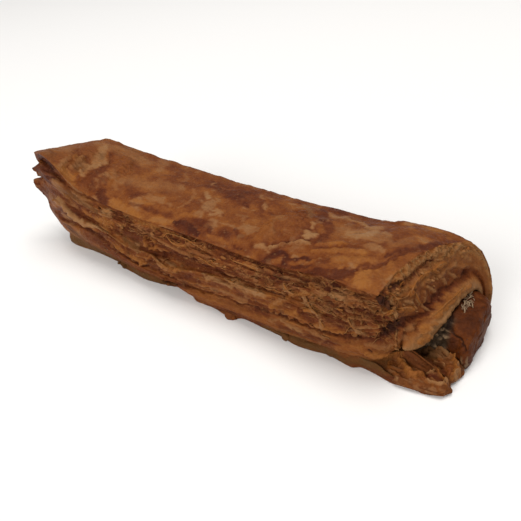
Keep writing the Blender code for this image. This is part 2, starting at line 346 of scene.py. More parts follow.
# Lines that run along the layered front, from the board up. Each has its share of
# the section, its height and how far it stands out from the front line.
frontLines = (
    (0.00, ((-112, 3.0), (-96, 0.6), (-88, 0.0), (80, 0.0)),
     ((-112, -0.6), (-93, 0.4), (-86, -0.5), (-80, -1.6), (-65, -2.2), (-60, -0.8), (-52, -0.3), (-45, 0.2),
      (-38, -0.6), (-33, -1.6), (-27, -3.0), (-22, -1.9), (-17, 0.3), (-8, -0.2), (-5, 0.7), (0, 1.0), (4, -0.9),
      (12, -0.5), (20, -0.2), (27, 0.8), (33, 0.2), (38, -0.7), (47, 0.2), (50, -1.3), (56, -0.8), (61, 0.2),
      (66, -0.2), (70, 0.4), (74, -0.6), (80, -3.0))),
    (0.05, ((-112, 4.5), (-96, 2.2), (-88, 1.6), (-30, 2.0), (-10, 1.0), (5, 0.9), (30, 1.6), (56, 1.8), (64, 1.2),
            (80, 1.2)),
     ((-112, -0.6), (-93, 0.4), (-86, -0.6), (-65, -2.2), (-45, 0.2), (-27, -3.6), (-17, 0.2), (0, 0.7), (6, -0.6),
      (27, 0.4), (50, -1.2), (61, 0.2), (70, 0.6), (75, -0.4), (80, -2.6))),
    (0.10, ((-112, 6.5), (-96, 4.6), (-80, 4.6), (-30, 4.0), (-18, 2.0), (0, 1.4), (30, 3.4), (54, 4.6), (62, 2.8),
            (80, 2.4)),
     ((-112, -0.6), (-60, -1.4), (-27, -2.6), (-18, 0.0), (0, 0.2), (20, -1.2), (50, -1.6), (62, -0.2), (74, 0.2),
      (80, -2.4))),
    (0.118, ((-112, 7.2), (-96, 5.4), (-80, 5.0), (-30, 4.3), (-18, 2.3), (0, 1.7), (30, 4.0), (50, 5.2), (58, 2.4),
             (64, 1.2), (80, 1.2)),
     ((-112, 0.0), (-60, -0.4), (0, 0.5), (40, -0.2), (52, -0.8), (59, -2.2), (80, -3.0))),
    (0.1215, ((-112, 7.3), (-96, 5.5), (-80, 5.1), (-30, 4.35), (-18, 2.35), (0, 1.75), (30, 4.1),
              (50, 5.3), (58, 2.6), (64, 1.2), (80, 1.2)),
     ((-112, 0.1), (-60, -0.2), (0, 0.6), (40, 0.0), (52, -1.2), (59, -6.0), (80, -6.5))),
    (0.126, ((-112, 7.4), (-96, 5.7), (-80, 5.2), (-30, 4.4), (-18, 2.4), (0, 1.8), (30, 4.2), (50, 6.0), (57, 7.2),
             (59, 9.0), (61, 10.6), (80, 10.8)),
     ((-112, 0.3), (-60, 0.2), (0, 0.7), (40, 0.2), (52, -1.0), (59, -6.0), (80, -6.5))),
    (0.14, ((-112, 8.0), (-90, 6.6), (-60, 4.8), (-40, 4.8), (-26, 4.6), (-18, 2.6), (0, 2.0), (15, 3.0), (30, 4.6),
             (50, 6.8), (57, 8.4), (59, 10.0), (61, 11.4), (80, 11.6)),
     ((-112, 0.6), (-60, 0.8), (0, 0.9), (40, 0.6), (52, -0.2), (57, -1.8), (60, -4.0), (80, -5.0))),
    (0.24, ((-112, 12.5), (-80, 10.0), (-45, 6.9), (-18, 5.0), (0, 5.2), (30, 7.6), (50, 9.4), (60, 12.8), (80, 13.0)),
     ((-112, 1.2), (-45, 1.4), (0, 1.6), (44, 1.2), (54, -0.4), (60, -3.4), (80, -4.0))),
    (0.33, ((-112, 17.5), (-95, 14.6), (-75, 14.0), (-60, 11.6), (-45, 8.4), (-17, 7.2), (0, 8.6), (20, 10.2),
            (42, 11.2), (52, 14.0), (60, 18.0), (80, 18.0)),
     ((-112, 0.6), (-75, 0.4), (-40, 0.5), (20, 0.5), (46, 0.4), (54, -1.0), (60, -3.0), (80, -3.4))),
    (0.40, ((-112, 19.5), (-92, 17.6), (-75, 15.8), (-60, 13.0), (-45, 10.0), (-17, 9.4), (0, 10.6), (20, 12.2),
            (42, 13.6), (52, 16.4), (60, 19.4), (80, 20.0)),
     ((-112, 1.0), (-60, 1.2), (0, 1.1), (44, 0.9), (54, -0.8), (60, -2.8), (80, -3.2))),
    (0.50, ((-112, 21.5), (-92, 21.6), (-80, 19.2), (-60, 16.4), (-48, 13.0), (-36, 14.0), (-28, 13.2), (-12, 14.6),
            (5, 16.0), (22, 17.4), (42, 18.0), (60, 21.6), (80, 22.0)),
     ((-112, 1.2), (-60, 1.5), (0, 1.5), (30, 1.2), (44, 0.8), (54, -0.8), (60, -2.6), (80, -3.0))),
    (0.58, ((-112, 23.6), (-92, 24.4), (-80, 21.4), (-60, 18.4), (-40, 15.8), (-12, 16.8), (5, 17.8), (22, 19.2),
            (42, 20.2), (60, 23.4), (80, 24.0)),
     ((-112, 0.6), (-60, 0.2), (-30, -0.3), (5, -0.1), (22, 0.2), (44, 0.4), (54, -0.9), (60, -2.6), (80, -3.0))),
    (0.66, ((-112, 27.4), (-104, 27.6), (-90, 26.6), (-80, 23.6), (-60, 20.6), (-40, 18.2), (-12, 18.6), (5, 19.0),
            (22, 20.8), (42, 22.2), (60, 25.0), (80, 25.6)),
     ((-112, -0.2), (-60, 0.0), (-30, -0.5), (5, -0.4), (22, 0.0), (44, 0.3), (54, -1.0), (60, -2.6), (80, -3.0))),
    (0.72, ((-112, 28.6), (-104, 29.2), (-92, 28.6), (-80, 25.4), (-60, 22.2), (-40, 20.2), (-12, 20.0), (5, 20.2),
            (22, 22.0), (42, 24.0), (60, 26.4), (80, 27.0)),
     ((-112, 0.4), (-60, 0.6), (-30, 0.5), (22, 0.5), (44, 0.4), (54, -1.0), (60, -2.6), (80, -3.0))),
    (0.84, ((-112, 31.4), (-104, 32.4), (-92, 32.2), (-80, 28.6), (-60, 25.6), (-40, 23.4), (-12, 22.8), (5, 22.8),
            (22, 24.4), (42, 27.4), (60, 28.6), (80, 29.0)),
     ((-112, 0.4), (-60, 0.4), (0, 0.5), (44, 0.3), (54, -1.0), (60, -2.6), (80, -3.0))),
    (0.91, ((-112, 34.0), (-104, 35.4), (-92, 35.0), (-80, 30.2), (-60, 27.0), (-40, 25.0), (-12, 24.4), (5, 24.2),
            (22, 25.4), (42, 28.8), (60, 29.8), (80, 30.0)),
     ((-112, -1.4), (-100, -2.6), (-88, -2.4), (-78, -0.4), (-40, -0.6), (0, -0.9), (30, -1.0), (46, -0.4),
      (60, -1.6), (80, -1.6))),
    (0.955, ((-112, 34.6), (-105, 35.4), (-101, 37.6), (-98, 38.4), (-92, 37.4), (-80, 31.8), (-60, 28.2), (-40, 26.2),
             (-12, 25.7), (5, 25.5), (22, 26.3), (42, 29.8), (60, 30.4), (80, 30.6)),
     ((-112, -1.6), (-103, -2.4), (-98, -4.6), (-88, -3.8), (-79, -1.4), (-60, -1.7), (-40, -2.7), (0, -3.3),
      (30, -3.1), (46, -1.1), (60, -1.0), (80, -1.0))),
    (0.975, ((-112, 35.8), (-105, 36.4), (-101, 38.6), (-98, 39.6), (-92, 38.8), (-80, 32.4), (-60, 28.9), (-40, 26.9),
             (-12, 26.3), (5, 26.0), (22, 26.8), (42, 30.5), (60, 31.0), (80, 31.0)),
     ((-112, -0.6), (-103, -0.9), (-98, -1.4), (-88, -1.2), (-79, -0.9), (-60, -1.3), (-40, -2.7), (0, -3.3), (30, -3.1),
      (46, -0.9), (60, -0.6), (80, -0.6))),
    (1.00, ((-112, 39.0), (-105, 39.8), (-101, 41.0), (-98, 41.2), (-92, 40.2), (-80, 33.4), (-60, 29.9), (-40, 27.8),
            (-12, 27.2), (5, 26.9), (22, 27.7), (42, 31.3), (60, 31.6), (80, 31.6)),
     ((-112, -0.6), (-100, -0.8), (-80, -0.8), (-60, -1.2), (-40, -2.6), (0, -3.2), (30, -3.0), (46, -1.0), (60, -0.8),
      (80, -0.8))),
)

# Where each line of the section stops: (place round the section, place along the
# roll). 0 to 1 is the front, 1 to 2 the top, 2 to 3 the folded back, 3 to 4 the underside.
rollEnds = {
    "leafEnd": ((0, -94.8), (0.10, -96), (0.14, -100), (0.20, -105), (0.34, -108.4), (0.60, -115), (0.67, -107.6),
                (0.73, -106.4), (0.82, -112.8), (0.88, -108.6), (0.955, -106), (0.975, -107.4), (1.0, -107.6),
                (1.12, -106.2), (1.4, -102.8), (2.0, -97.4), (2.5, -94), (3.0, -92), (4, -94)),
    "mouthEnd": ((0, 74.3), (0.05, 75.6), (0.118, 75.2), (0.1215, 60.6), (0.126, 59.8),
                 (0.15, 59.6), (0.20, 59.2), (0.60, 59), (0.9, 56.4), (1.0, 54.6), (1.35, 56), (1.65, 59.4), (2.0, 65.4), (2.3, 71.4), (2.5, 75.0), (2.7, 76.0), (3.0, 75), (3.5, 74.5),
                 (4, 74.3)),
    "leafInnerEnd": ((0, -92), (1, -96), (2, -92), (3, -90), (4, -92)),
    "mouthInnerEnd": ((0, 74.5), (0.118, 74.8), (0.1215, 61.8), (0.16, 61.8), (0.60, 63), (1.0, 66), (1.5, 69),
                      (2.0, 71), (2.5, 72.5), (3.0, 73.5), (4, 74.5)),
    "leafSpreadFrom": -84.0,
    "mouthSpreadFrom": 46.0,
    "frontRows": 120, "extraRows": (0.118, 0.1215, 0.126), "topRows": 86, "backRows": 20, "underRows": 5,
    "stations": 330, "hollowStations": 14, "mouthLoops": 52, "leafLoops": 16,
}
hollow = {
    "floor": ((-112, 3.0), (56, 3.0), (62, 1.9), (80, 1.9)), "sill": ((-112, 0.0), (52, 0.0), (60, 10.6), (80, 10.6)),
    "frontWall": 4.6, "backWall": 3.2,
    "roofFront": ((-112, 19.0), (30, 17.0), (60, 9.4), (67, 11.0), (80, 11.0)),
    "roofBack": ((-112, 23.0), (30, 21.0), (68, 17.4), (80, 17.0)),
}


def frontShape(share, x):
    # height and reach on the layered front, eased from line to line
    shares = [line[0] for line in frontLines]
    heights = [along(line[1], x) for line in frontLines]
    reaches = [along(line[2], x) for line in frontLines]
    z = np.zeros_like(x)
    reach = np.zeros_like(x)
    for k in range(len(shares) - 1):
        inside = (share >= shares[k]) & (share <= shares[k + 1])
        t = np.clip((share - shares[k]) / (shares[k + 1] - shares[k]), 0, 1)
        eased = t * t * (3 - 2 * t)
        z = np.where(inside, heights[k] + t * (heights[k + 1] - heights[k]), z)
        reach = np.where(inside, reaches[k] + eased * (reaches[k + 1] - reaches[k]), reach)
    return z, reach


def outerPoint(around, x):
    frontY = along(roll["frontLine"], x)
    backY = along(roll["backLine"], x)
    topZ = along(roll["backTop"], x)
    floorZ = along(roll["underside"], x)
    shoulderY = backY - 6.5
    heelY = backY - 4.5
    frontZ, reach = frontShape(np.clip(around, 0, 1), x)
    rimZ, rimReach = frontShape(np.ones_like(x), x)
    y = frontY - reach
    z = frontZ
    t = np.clip(around - 1, 0, 1)
    bulge = np.sin(np.pi * t)
    rimY = frontY - rimReach
    onTop = (around >= 1) & (around < 2)
    y = np.where(onTop, rimY + t * (shoulderY - rimY), y)
    z = np.where(onTop, rimZ + t * (topZ - rimZ) + along(roll["crown"], x) * bulge ** 0.8, z)
    onBack = (around >= 2) & (around < 3)
    turn = np.clip(around - 2, 0, 1) * np.pi
    lean = 0.5 - 0.5 * np.cos(turn)
    backEdge = shoulderY + (heelY - shoulderY) * lean
    y = np.where(onBack, backEdge + (backY - backEdge) * np.sin(turn) ** 0.7, y)
    z = np.where(onBack, topZ + (floorZ - topZ) * lean, z)
    onUnder = around >= 3
    t = around - 3
    footReach = along(frontLines[0][2], x)
    y = np.where(onUnder, heelY + t * (frontY - footReach - heelY), y)
    z = np.where(onUnder, floorZ, z)
    return y, z


def innerPoint(around, x, inset=0.0, frontDraw=0.0, sill=False):
    frontY = along(roll["frontLine"], x) + hollow["frontWall"] + inset + frontDraw
    backY = along(roll["backLine"], x) - hollow["backWall"] - inset
    roofFront = along(hollow["roofFront"], x) - inset
    roofBack = along(hollow["roofBack"], x) - inset
    floorZ = along(roll["underside"], x) + along(hollow["floor"], x) + inset
    midY = 0.5 * (frontY + backY)
    half = 0.5 * (backY - frontY)
    turn = (around - 0.5) * np.pi / 2
    side = -np.cos(turn)
    rise = np.sin(turn)
    side = np.sign(side) * np.abs(side) ** 0.75
    rise = np.sign(rise) * np.abs(rise) ** 0.8
    y = midY + half * side
    share = 0.5 + 0.5 * side
    share = share + (1 - share) * frontDraw / (backY - frontY + frontDraw)
    roofZ = roofFront + share * (roofBack - roofFront)
    midZ = 0.5 * (roofZ + floorZ)
    z = midZ + 0.5 * (roofZ - floorZ) * rise
    if sill:
        z = np.where((around > 0.12) & (around < 1.2), np.maximum(z, along(hollow["sill"], x)), z)
        z = np.where(around <= 0.12, np.minimum(z, floorZ + 20 * (1 - ramp(x, 54, 60))), z)
    return y, z


def spreadStations(around, steps, leafEnd, mouthEnd):
    share = np.linspace(0, 1, steps)[None, :]
    share = share + 0.06 * np.sin(np.pi * share)  # closer together towards the mouth
    start = along(leafEnd, around)[:, None]
    finish = along(mouthEnd, around)[:, None]
    middle = -95 + share * (70 + 95)
    leafFrom = rollEnds["leafSpreadFrom"]
    mouthFrom = rollEnds["mouthSpreadFrom"]
    left = np.clip((leafFrom - middle) / (leafFrom + 95), 0, 1)
    right = np.clip((middle - mouthFrom) / (70 - mouthFrom), 0, 1)
    x = middle * np.ones_like(start)
    x = np.where(left > 0, leafFrom + left * (start - leafFrom), x)
    x = np.where(right > 0, mouthFrom + right * (finish - mouthFrom), x)
    return x


# How baked a place is: toast runs from pale gold to dark red brown, and cream, olive
# and char are laid over it. Olive is partly the underbaked dough of the bottom sheet and
# partly painted shade on low, overhung places; char is partly burnt spots and partly
# painted deep shadow in cavities and under lifted edges.
paints = {
    "amber": (0.08, 0.0, 0.0, 0.0),
    "gold": (0.28, 0.0, 0.0, 0.0),
    "skin": (0.48, 0.0, 0.0, 0.0),
    "rust": (0.76, 0.0, 0.0, 0.0),
    "maroon": (0.92, 0.0, 0.0, 0.05),
    "cream": (0.18, 0.95, 0.0, 0.0),
    "pale": (0.30, 0.50, 0.0, 0.0),
    "olive": (0.50, 0.05, 0.85, 0.0),
    "char": (1.0, 0.0, 0.0, 0.95),
    "grey": (0.55, 0.55, 0.30, 0.10),
}

# Marks on the top: paint, strength, lift in mm, softness of the edge, then places along
# the roll, across it (1 at the front rim, 2 at the back shoulder) and half widths in mm.
topMarks = (
    ("skin", 0.0, 1.3, 0.5, (-72, 1.8, 3), (-71, 1.55, 5), (-73, 1.3, 4.5), (-75, 1.12, 3)),
    ("skin", 0.0, -1.0, 0.5, (-84, 1.65, 3.5), (-83.5, 1.4, 3.5), (-85, 1.2, 3)),
    ("rust", 0.35, -0.2, 0.9, (-40, 1.06, 1.4), (-10, 1.05, 1.6), (20, 1.05, 1.6), (48, 1.05, 1.6)),
    ("maroon", 1.0, 0.0, 0.6, (-34, 1.01, 1.2), (-14, 1.02, 1.5), (8, 1.03, 1.6), (24, 1.04, 1.8), (36, 1.07, 2.2)),
    ("maroon", 1.0, 0.0, 0.5, (32, 1.06, 1.0), (40, 1.1, 2.0), (44, 1.2, 1.6), (46.5, 1.3, 0.9)),
    ("maroon", 0.9, 0.0, 0.5, (49, 1.44, 0.7), (53, 1.56, 0.9), (58.5, 1.7, 1.5), (61, 1.84, 1.8), (65, 1.96, 1.8)),
    ("amber", 0.9, 0.2, 0.4, (46, 1.08, 1.0), (50, 1.14, 2.0), (53, 1.1, 1.4)),
    ("rust", 0.35, 0.0, 1.0, (-90, 1.95, 2.5), (-60, 1.93, 2.5), (-25, 1.95, 2)),
    ("pale", 0.6, 0.0, 0.9, (-104, 1.5, 3.5), (-97, 1.4, 5)),
    ("olive", 0.35, 0.0, 0.9, (-104, 1.2, 3), (-97, 1.15, 4)),
    ("skin", 0.8, 0.0, 0.8, (-99, 1.9, 4), (-84, 1.88, 4)),
    ("pale", 0.7, 0.0, 0.8, (-92, 1.84, 4), (-86, 1.86, 3)),
    ("rust", 0.6, 0.0, 0.7, (-103, 1.72, 2), (-102, 1.55, 1.5), (-104, 1.3, 1)),
    ("skin", 0.8, 0.0, 0.7, (-92, 1.68, 3), (-88, 1.6, 3)),
    ("cream", 0.85, 0.2, 0.5, (-89, 1.86, 1.5), (-85, 1.66, 2), (-81, 1.5, 3), (-79, 1.36, 2.6), (-79.5, 1.24, 1.5)),
    ("cream", 0.6, 0.0, 0.4, (-79.5, 1.55, 1.6), (-78.4, 1.42, 1.4)),
    ("grey", 0.9, -0.2, 0.4, (-84.5, 1.68, 1.4), (-82.5, 1.6, 1.2)),
    ("grey", 0.9, -0.2, 0.4, (-82, 1.36, 1.6), (-80.3, 1.3, 1.4)),
    ("rust", 0.7, -0.4, 0.5, (-93, 1.5, 1), (-90, 1.38, 1.2), (-86, 1.5, 1), (-83, 1.42, 0.9)),
    ("olive", 0.6, -0.3, 0.5, (-86, 1.36, 2.2), (-84, 1.28, 2)),
    ("amber", 0.9, -0.5, 0.4, (-89, 1.08, 1.5), (-86, 1.12, 2.4), (-82, 1.12, 2.2)),
    ("rust", 0.7, -0.5, 0.5, (-81, 1.28, 0.8), (-80, 1.12, 1.2)),
    ("pale", 0.9, 0.9, 0.4, (-91, 1.30, 0.7), (-88.5, 1.20, 0.9), (-87.5, 1.08, 0.7)),
    ("pale", 0.9, 0.9, 0.4, (-87.5, 1.46, 0.7), (-86, 1.34, 0.7), (-85, 1.22, 0.6)),
    ("gold", 0.9, 0.7, 0.4, (-90.5, 1.42, 0.6), (-89, 1.33, 0.6)),
    ("cream", 0.8, 0.3, 0.4, (-82, 1.27, 0.7), (-79.5, 1.22, 0.8)),
    ("amber", 0.9, 0.2, 0.4, (-79, 1.07, 1.2), (-76, 1.05, 1.2)),
    ("rust", 0.8, -0.5, 0.5, (-81, 1.88, 1.2), (-82, 1.78, 1.6), (-78, 1.64, 0.9), (-76.6, 1.5, 0.9), (-77, 1.3, 0.9),
     (-78, 1.15, 1)),
    ("rust", 0.9, 0.1, 0.6, (-76, 1.5, 1.6), (-74, 1.42, 3), (-75, 1.25, 2.6), (-76, 1.12, 2.4)),
    ("maroon", 0.6, 0.0, 0.7, (-74, 1.47, 1.4), (-73, 1.38, 1.6)),
    ("rust", 0.9, 0.1, 0.6, (-70, 1.3, 1.8), (-68, 1.22, 2), (-66, 1.16, 2)),
    ("maroon", 0.95, 0.1, 0.35, (-65.5, 1.17, 1.6), (-63.5, 1.11, 2.4), (-61, 1.1, 1.6)),
    ("gold", 0.7, 0.0, 0.7, (-71, 1.1, 2), (-68, 1.1, 1.5)),
    ("skin", 0.7, 0.3, 0.9, (-76, 1.72, 3), (-70, 1.66, 4), (-64, 1.55, 5)),
    ("pale", 0.55, 0.2, 0.7, (-70, 1.46, 0.8), (-65, 1.37, 1.1), (-61, 1.27, 0.8)),
    ("rust", 0.5, 0.0, 0.8, (-72, 1.82, 2), (-66, 1.74, 1.6), (-62, 1.62, 1.4)),
    ("grey", 0.5, 0.0, 0.8, (-81, 1.98, 1.6), (-76, 1.97, 1.4)),
    ("pale", 0.6, 0.0, 0.7, (-60, 1.97, 2), (-57, 1.88, 2.4), (-54, 1.8, 1.4)),
    ("amber", 0.45, 0.0, 0.9, (-58, 1.55, 3), (-56, 1.72, 2)),
    ("amber", 0.95, -0.35, 0.25, (-58, 1.1, 2), (-55, 1.12, 2.4), (-50, 1.09, 1.9), (-46, 1.1, 1.6)),
    ("amber", 0.9, -0.3, 0.3, (-48, 1.13, 1.4), (-44, 1.11, 1.5)),
    ("rust", 0.85, 0.1, 0.5, (-60, 1.42, 1.4), (-55, 1.32, 2.2), (-51, 1.3, 2), (-49, 1.36, 1.6)),
    ("maroon", 0.5, 0.0, 0.5, (-53, 1.29, 1.2), (-50, 1.27, 1)),
    ("maroon", 0.7, 0.0, 0.4, (-51, 1.2, 0.7), (-47, 1.2, 0.8), (-42, 1.22, 1.0), (-37, 1.22, 0.9)),
    ("amber", 0.7, 0.2, 0.5, (-50, 1.24, 0.6), (-45, 1.27, 0.7), (-42, 1.29, 0.6)),
    ("rust", 0.7, 0.1, 0.6, (-47, 1.85, 1.8), (-46, 1.68, 2.2), (-45, 1.53, 2.2), (-43, 1.5, 1.4)),
    ("pale", 0.6, 0.0, 0.5, (-47, 1.36, 1.8), (-44, 1.34, 1.6)),
    ("pale", 0.5, 0.0, 0.5, (-45, 1.9, 0.7), (-42, 1.8, 0.7), (-41, 1.74, 0.6)),
    ("pale", 0.7, 0.1, 0.4, (-39, 1.66, 1.1), (-37.5, 1.64, 0.8)),
    ("pale", 0.6, 0.1, 0.5, (-34, 1.68, 0.7), (-31, 1.6, 0.6), (-29.3, 1.52, 0.6), (-30, 1.44, 0.7), (-31, 1.36, 0.6)),
    ("gold", 0.6, 0.0, 0.6, (-37, 1.28, 1.4), (-32, 1.3, 1.2), (-28, 1.25, 1)),
    ("pale", 0.5, 0.1, 0.4, (-36, 1.37, 0.9), (-34.5, 1.35, 0.7)),
    ("amber", 0.95, -0.3, 0.3, (-38.5, 1.13, 1.1), (-35, 1.15, 1.7), (-31, 1.16, 1.5), (-29, 1.17, 1)),
    ("cream", 0.35, 0.0, 0.4, (-37, 1.14, 1), (-32, 1.17, 0.8)),
    ("maroon", 0.95, 0.15, 0.3, (-28, 1.19, 0.7), (-25, 1.19, 1.8), (-20, 1.17, 1.8), (-15, 1.15, 0.9)),
    ("rust", 0.9, 0.1, 0.5, (-22, 1.3, 1), (-17, 1.28, 2.2), (-13, 1.22, 1.6), (-11, 1.19, 0.8)),
    ("amber", 0.6, 0.25, 0.4, (-27, 1.29, 0.9), (-23, 1.33, 1.6), (-21, 1.33, 1.2)),
    ("rust", 0.5, 0.0, 0.7, (-27, 1.5, 1.8), (-24, 1.48, 1.6)),
    ("rust", 0.85, 0.0, 0.7, (-31, 1.82, 1.6), (-24, 1.8, 2), (-17, 1.76, 2.6), (-11, 1.72, 2), (-8, 1.66, 1)),
    ("maroon", 0.5, 0.0, 0.8, (-32, 1.9, 1.4), (-26, 1.88, 1.6)),
    ("cream", 0.85, -0.1, 0.3, (-27.6, 1.68, 0.9), (-26.3, 1.65, 0.9), (-24.4, 1.61, 0.9)),
    ("cream", 0.8, -0.1, 0.3, (-17.6, 1.49, 0.9), (-15, 1.48, 0.7), (-16.4, 1.42, 0.8)),
    ("cream", 0.6, 0.0, 0.3, (-31.4, 1.89, 0.9), (-31, 1.86, 0.7)),
    ("cream", 0.6, 0.0, 0.4, (-8, 1.9, 0.6), (-6.6, 1.86, 0.9)),
    ("rust", 0.7, 0.0, 0.5, (-9, 1.83, 1), (-5.5, 1.82, 1), (-3.5, 1.75, 0.9), (-1, 1.66, 1), (0, 1.6, 1)),
    ("cream", 0.6, 0.3, 0.3, (-2.8, 1.78, 0.5), (-1.6, 1.72, 0.9), (-0.4, 1.7, 0.5)),
    ("gold", 0.6, 0.0, 0.5, (-8, 1.74, 0.9), (-5.5, 1.66, 1)),
    ("pale", 0.6, 0.1, 0.4, (-8.5, 1.52, 0.8), (-5, 1.52, 0.9), (-4.4, 1.46, 0.7)),
    ("gold", 0.5, 0.0, 0.8, (-15, 1.6, 2), (-10, 1.54, 2)),
    ("maroon", 0.6, -0.1, 0.4, (-4, 1.32, 1.2), (-1.5, 1.29, 0.9)),
    ("grey", 0.6, 0.1, 0.4, (-0.3, 1.27, 1), (1, 1.29, 0.9)),
    ("maroon", 0.8, -0.2, 0.4, (-0.6, 1.17, 0.5), (0.8, 1.15, 0.7), (2.5, 1.16, 0.4)),
    ("amber", 0.7, -0.2, 0.4, (-11, 1.16, 0.9), (-6, 1.18, 1.2), (-2, 1.15, 0.9)),
    ("gold", 0.7, 0.9, 1.0, (7, 1.32, 4), (9, 1.5, 6), (12, 1.72, 6)),
    ("amber", 0.35, 0.3, 1.0, (6, 1.52, 2), (7, 1.36, 2)),
    ("pale", 0.5, 0.4, 0.4, (6.5, 1.6, 0.4), (7.5, 1.5, 0.6), (8, 1.43, 0.6), (10, 1.41, 0.6)),
    ("grey", 0.55, 0.0, 0.5, (10, 1.96, 1.6), (13, 1.9, 1.4), (15, 1.84, 1.2), (17, 1.76, 1)),
    ("rust", 0.5, -0.3, 0.4, (9, 1.79, 0.6), (12, 1.74, 0.6), (15, 1.7, 0.5)),
    ("gold", 0.6, 0.2, 0.7, (12, 1.32, 1.4), (15, 1.4, 2), (17, 1.5, 2)),
    ("rust", 0.5, -0.2, 0.7, (13, 1.33, 1.2), (16, 1.38, 1)),
    ("rust", 0.9, 0.1, 0.45, (16, 1.98, 1.4), (18, 1.9, 2.4), (20, 1.8, 2.3), (23.5, 1.74, 1.7), (25.6, 1.68, 1.7),
     (26, 1.58, 1.5), (25.5, 1.46, 0.9)),
    ("amber", 0.5, 0.3, 0.5, (22, 1.68, 1), (24, 1.62, 1), (24, 1.54, 0.7)),
    ("cream", 0.9, 0.35, 0.4, (19.3, 1.56, 1.0), (21, 1.52, 2.0), (22, 1.54, 1.4)),
    ("cream", 0.8, 0.3, 0.4, (19.8, 1.69, 0.7), (20, 1.63, 0.8)),
    ("cream", 0.7, 0.2, 0.3, (7, 1.23, 0.9), (10, 1.24, 1), (12, 1.22, 0.7)),
    ("rust", 0.7, -0.7, 0.4, (12.5, 1.31, 0.5), (16, 1.36, 0.5), (19.4, 1.43, 0.6), (22.5, 1.45, 0.5)),
    ("cream", 0.95, 1.0, 0.35, (12.6, 1.26, 0.6), (14.6, 1.31, 0.8), (17, 1.33, 0.7), (19, 1.38, 0.8), (21.5, 1.41, 0.9),
     (24, 1.42, 0.7)),
    ("skin", 0.7, 0.3, 0.7, (16, 1.28, 1.6), (21, 1.34, 2), (25, 1.38, 1.6)),
    ("maroon", 0.9, 0.0, 0.5, (13.8, 1.15, 1.4), (15.5, 1.21, 1.6), (18, 1.25, 0.9), (21, 1.22, 0.8), (20.6, 1.15, 0.8)),
    ("amber", 0.9, 0.1, 0.3, (17.3, 1.14, 1.1), (19, 1.16, 1.0)),
    ("amber", 0.8, 0.0, 0.4, (22.5, 1.17, 0.7), (25, 1.18, 0.7)),
    ("pale", 0.75, 0.1, 0.6, (27.5, 1.72, 1.4), (32, 1.7, 3.6), (38, 1.7, 4), (44, 1.64, 2.4)),
    ("cream", 0.8, 0.2, 0.5, (33, 1.68, 1.8), (36, 1.64, 2.2), (39, 1.68, 2.6), (40, 1.76, 1.6)),
    ("cream", 0.6, 0.1, 0.5, (35, 1.86, 1.2), (37.5, 1.82, 1.2), (40.6, 1.85, 1.4)),
    ("grey", 0.8, -0.2, 0.3, (36.4, 1.79, 0.9), (38, 1.78, 0.5)),
    ("grey", 0.7, -0.2, 0.3, (34.6, 1.68, 0.7), (36.5, 1.7, 0.4)),
    ("rust", 0.5, 0.0, 0.5, (30, 1.8, 1.2), (33.6, 1.78, 0.7)),
    ("cream", 0.6, 0.1, 0.6, (20, 1.93, 1), (24, 1.88, 1.6), (27, 1.92, 1.4), (33, 1.91, 1), (35, 1.87, 0.6)),
    ("rust", 0.7, -0.3, 0.3, (27.5, 1.95, 0.4), (29, 1.93, 0.4), (32, 1.93, 0.4)),
    ("cream", 0.6, 0.15, 0.4, (43.5, 1.76, 1.1), (45.5, 1.73, 1.2)),
    ("pale", 0.8, 0.15, 0.4, (41.7, 1.52, 0.8), (44, 1.52, 1.8), (46.8, 1.5, 1.3)),
    ("pale", 0.4, 0.1, 0.5, (46, 1.68, 1), (49, 1.58, 1), (52, 1.7, 2)),
    ("amber", 0.75, 0.5, 0.5, (26.5, 1.45, 1), (30, 1.47, 1), (33.5, 1.51, 1.2), (36, 1.49, 0.8)),
    ("rust", 0.5, -0.3, 0.5, (29, 1.42, 0.6), (34, 1.46, 0.5), (38, 1.49, 0.8), (41, 1.47, 0.6)),
    ("amber", 0.8, 0.4, 0.5, (27, 1.34, 1.2), (33, 1.38, 1.4), (38, 1.42, 1.2), (42, 1.43, 1.2)),
    ("amber", 0.6, 0.3, 0.5, (36, 1.28, 1.6), (41, 1.33, 1.6), (46, 1.36, 1.8)),
    ("rust", 0.6, -0.3, 0.5, (27, 1.24, 1), (31, 1.3, 0.7), (34, 1.24, 1), (33, 1.3, 0.6)),
    ("maroon", 0.85, 0.0, 0.5, (21, 1.2, 0.5), (26, 1.24, 0.9), (28, 1.22, 0.7)),
    ("maroon", 0.8, 0.0, 0.5, (24.5, 1.13, 0.6), (29, 1.15, 1.2), (30, 1.17, 0.8)),
    ("maroon", 0.85, 0.0, 0.5, (32.5, 1.14, 0.9), (36, 1.14, 0.8), (40, 1.15, 1.4), (43, 1.19, 1.5), (45, 1.24, 0.7)),
    ("amber", 0.8, 0.25, 0.3, (46, 1.12, 1.6), (47, 1.22, 2), (49.5, 1.17, 1.8)),
    ("skin", 0.7, 0.1, 0.5, (51.5, 1.2, 1.6), (53, 1.1, 1.4)),
    ("maroon", 0.75, -0.3, 0.4, (46.5, 1.25, 0.5), (49.5, 1.32, 0.8), (51.5, 1.42, 0.9), (53, 1.5, 0.8), (55, 1.58, 1.2),
     (57.5, 1.64, 1.8), (59, 1.7, 1.6), (60.5, 1.76, 1.0)),
    ("skin", 0.8, 0.4, 0.6, (54, 1.34, 2), (57, 1.46, 2), (58, 1.54, 1.6)),
    ("amber", 0.5, 0.1, 0.6, (52, 1.38, 1.2), (55, 1.3, 1.4)),
    ("rust", 0.65, 0.1, 0.8, (58, 1.92, 3), (62, 1.9, 3), (65, 1.84, 2), (64, 1.98, 2)),
    ("gold", 0.6, 0.2, 0.5, (62, 1.86, 0.8), (63.5, 1.8, 0.7)),
    ("rust", 0.5, 0.0, 0.7, (49, 1.98, 1), (53, 1.97, 1), (41, 1.93, 1.2)),
    ("char", 0.75, -0.4, 0.5, (54.6, 1.05, 1.2), (56, 1.12, 1.4), (57.5, 1.24, 1.2)),
    ("char", 0.65, -0.4, 0.5, (58.5, 1.36, 1.2), (60.5, 1.44, 1.2), (61, 1.5, 1)),
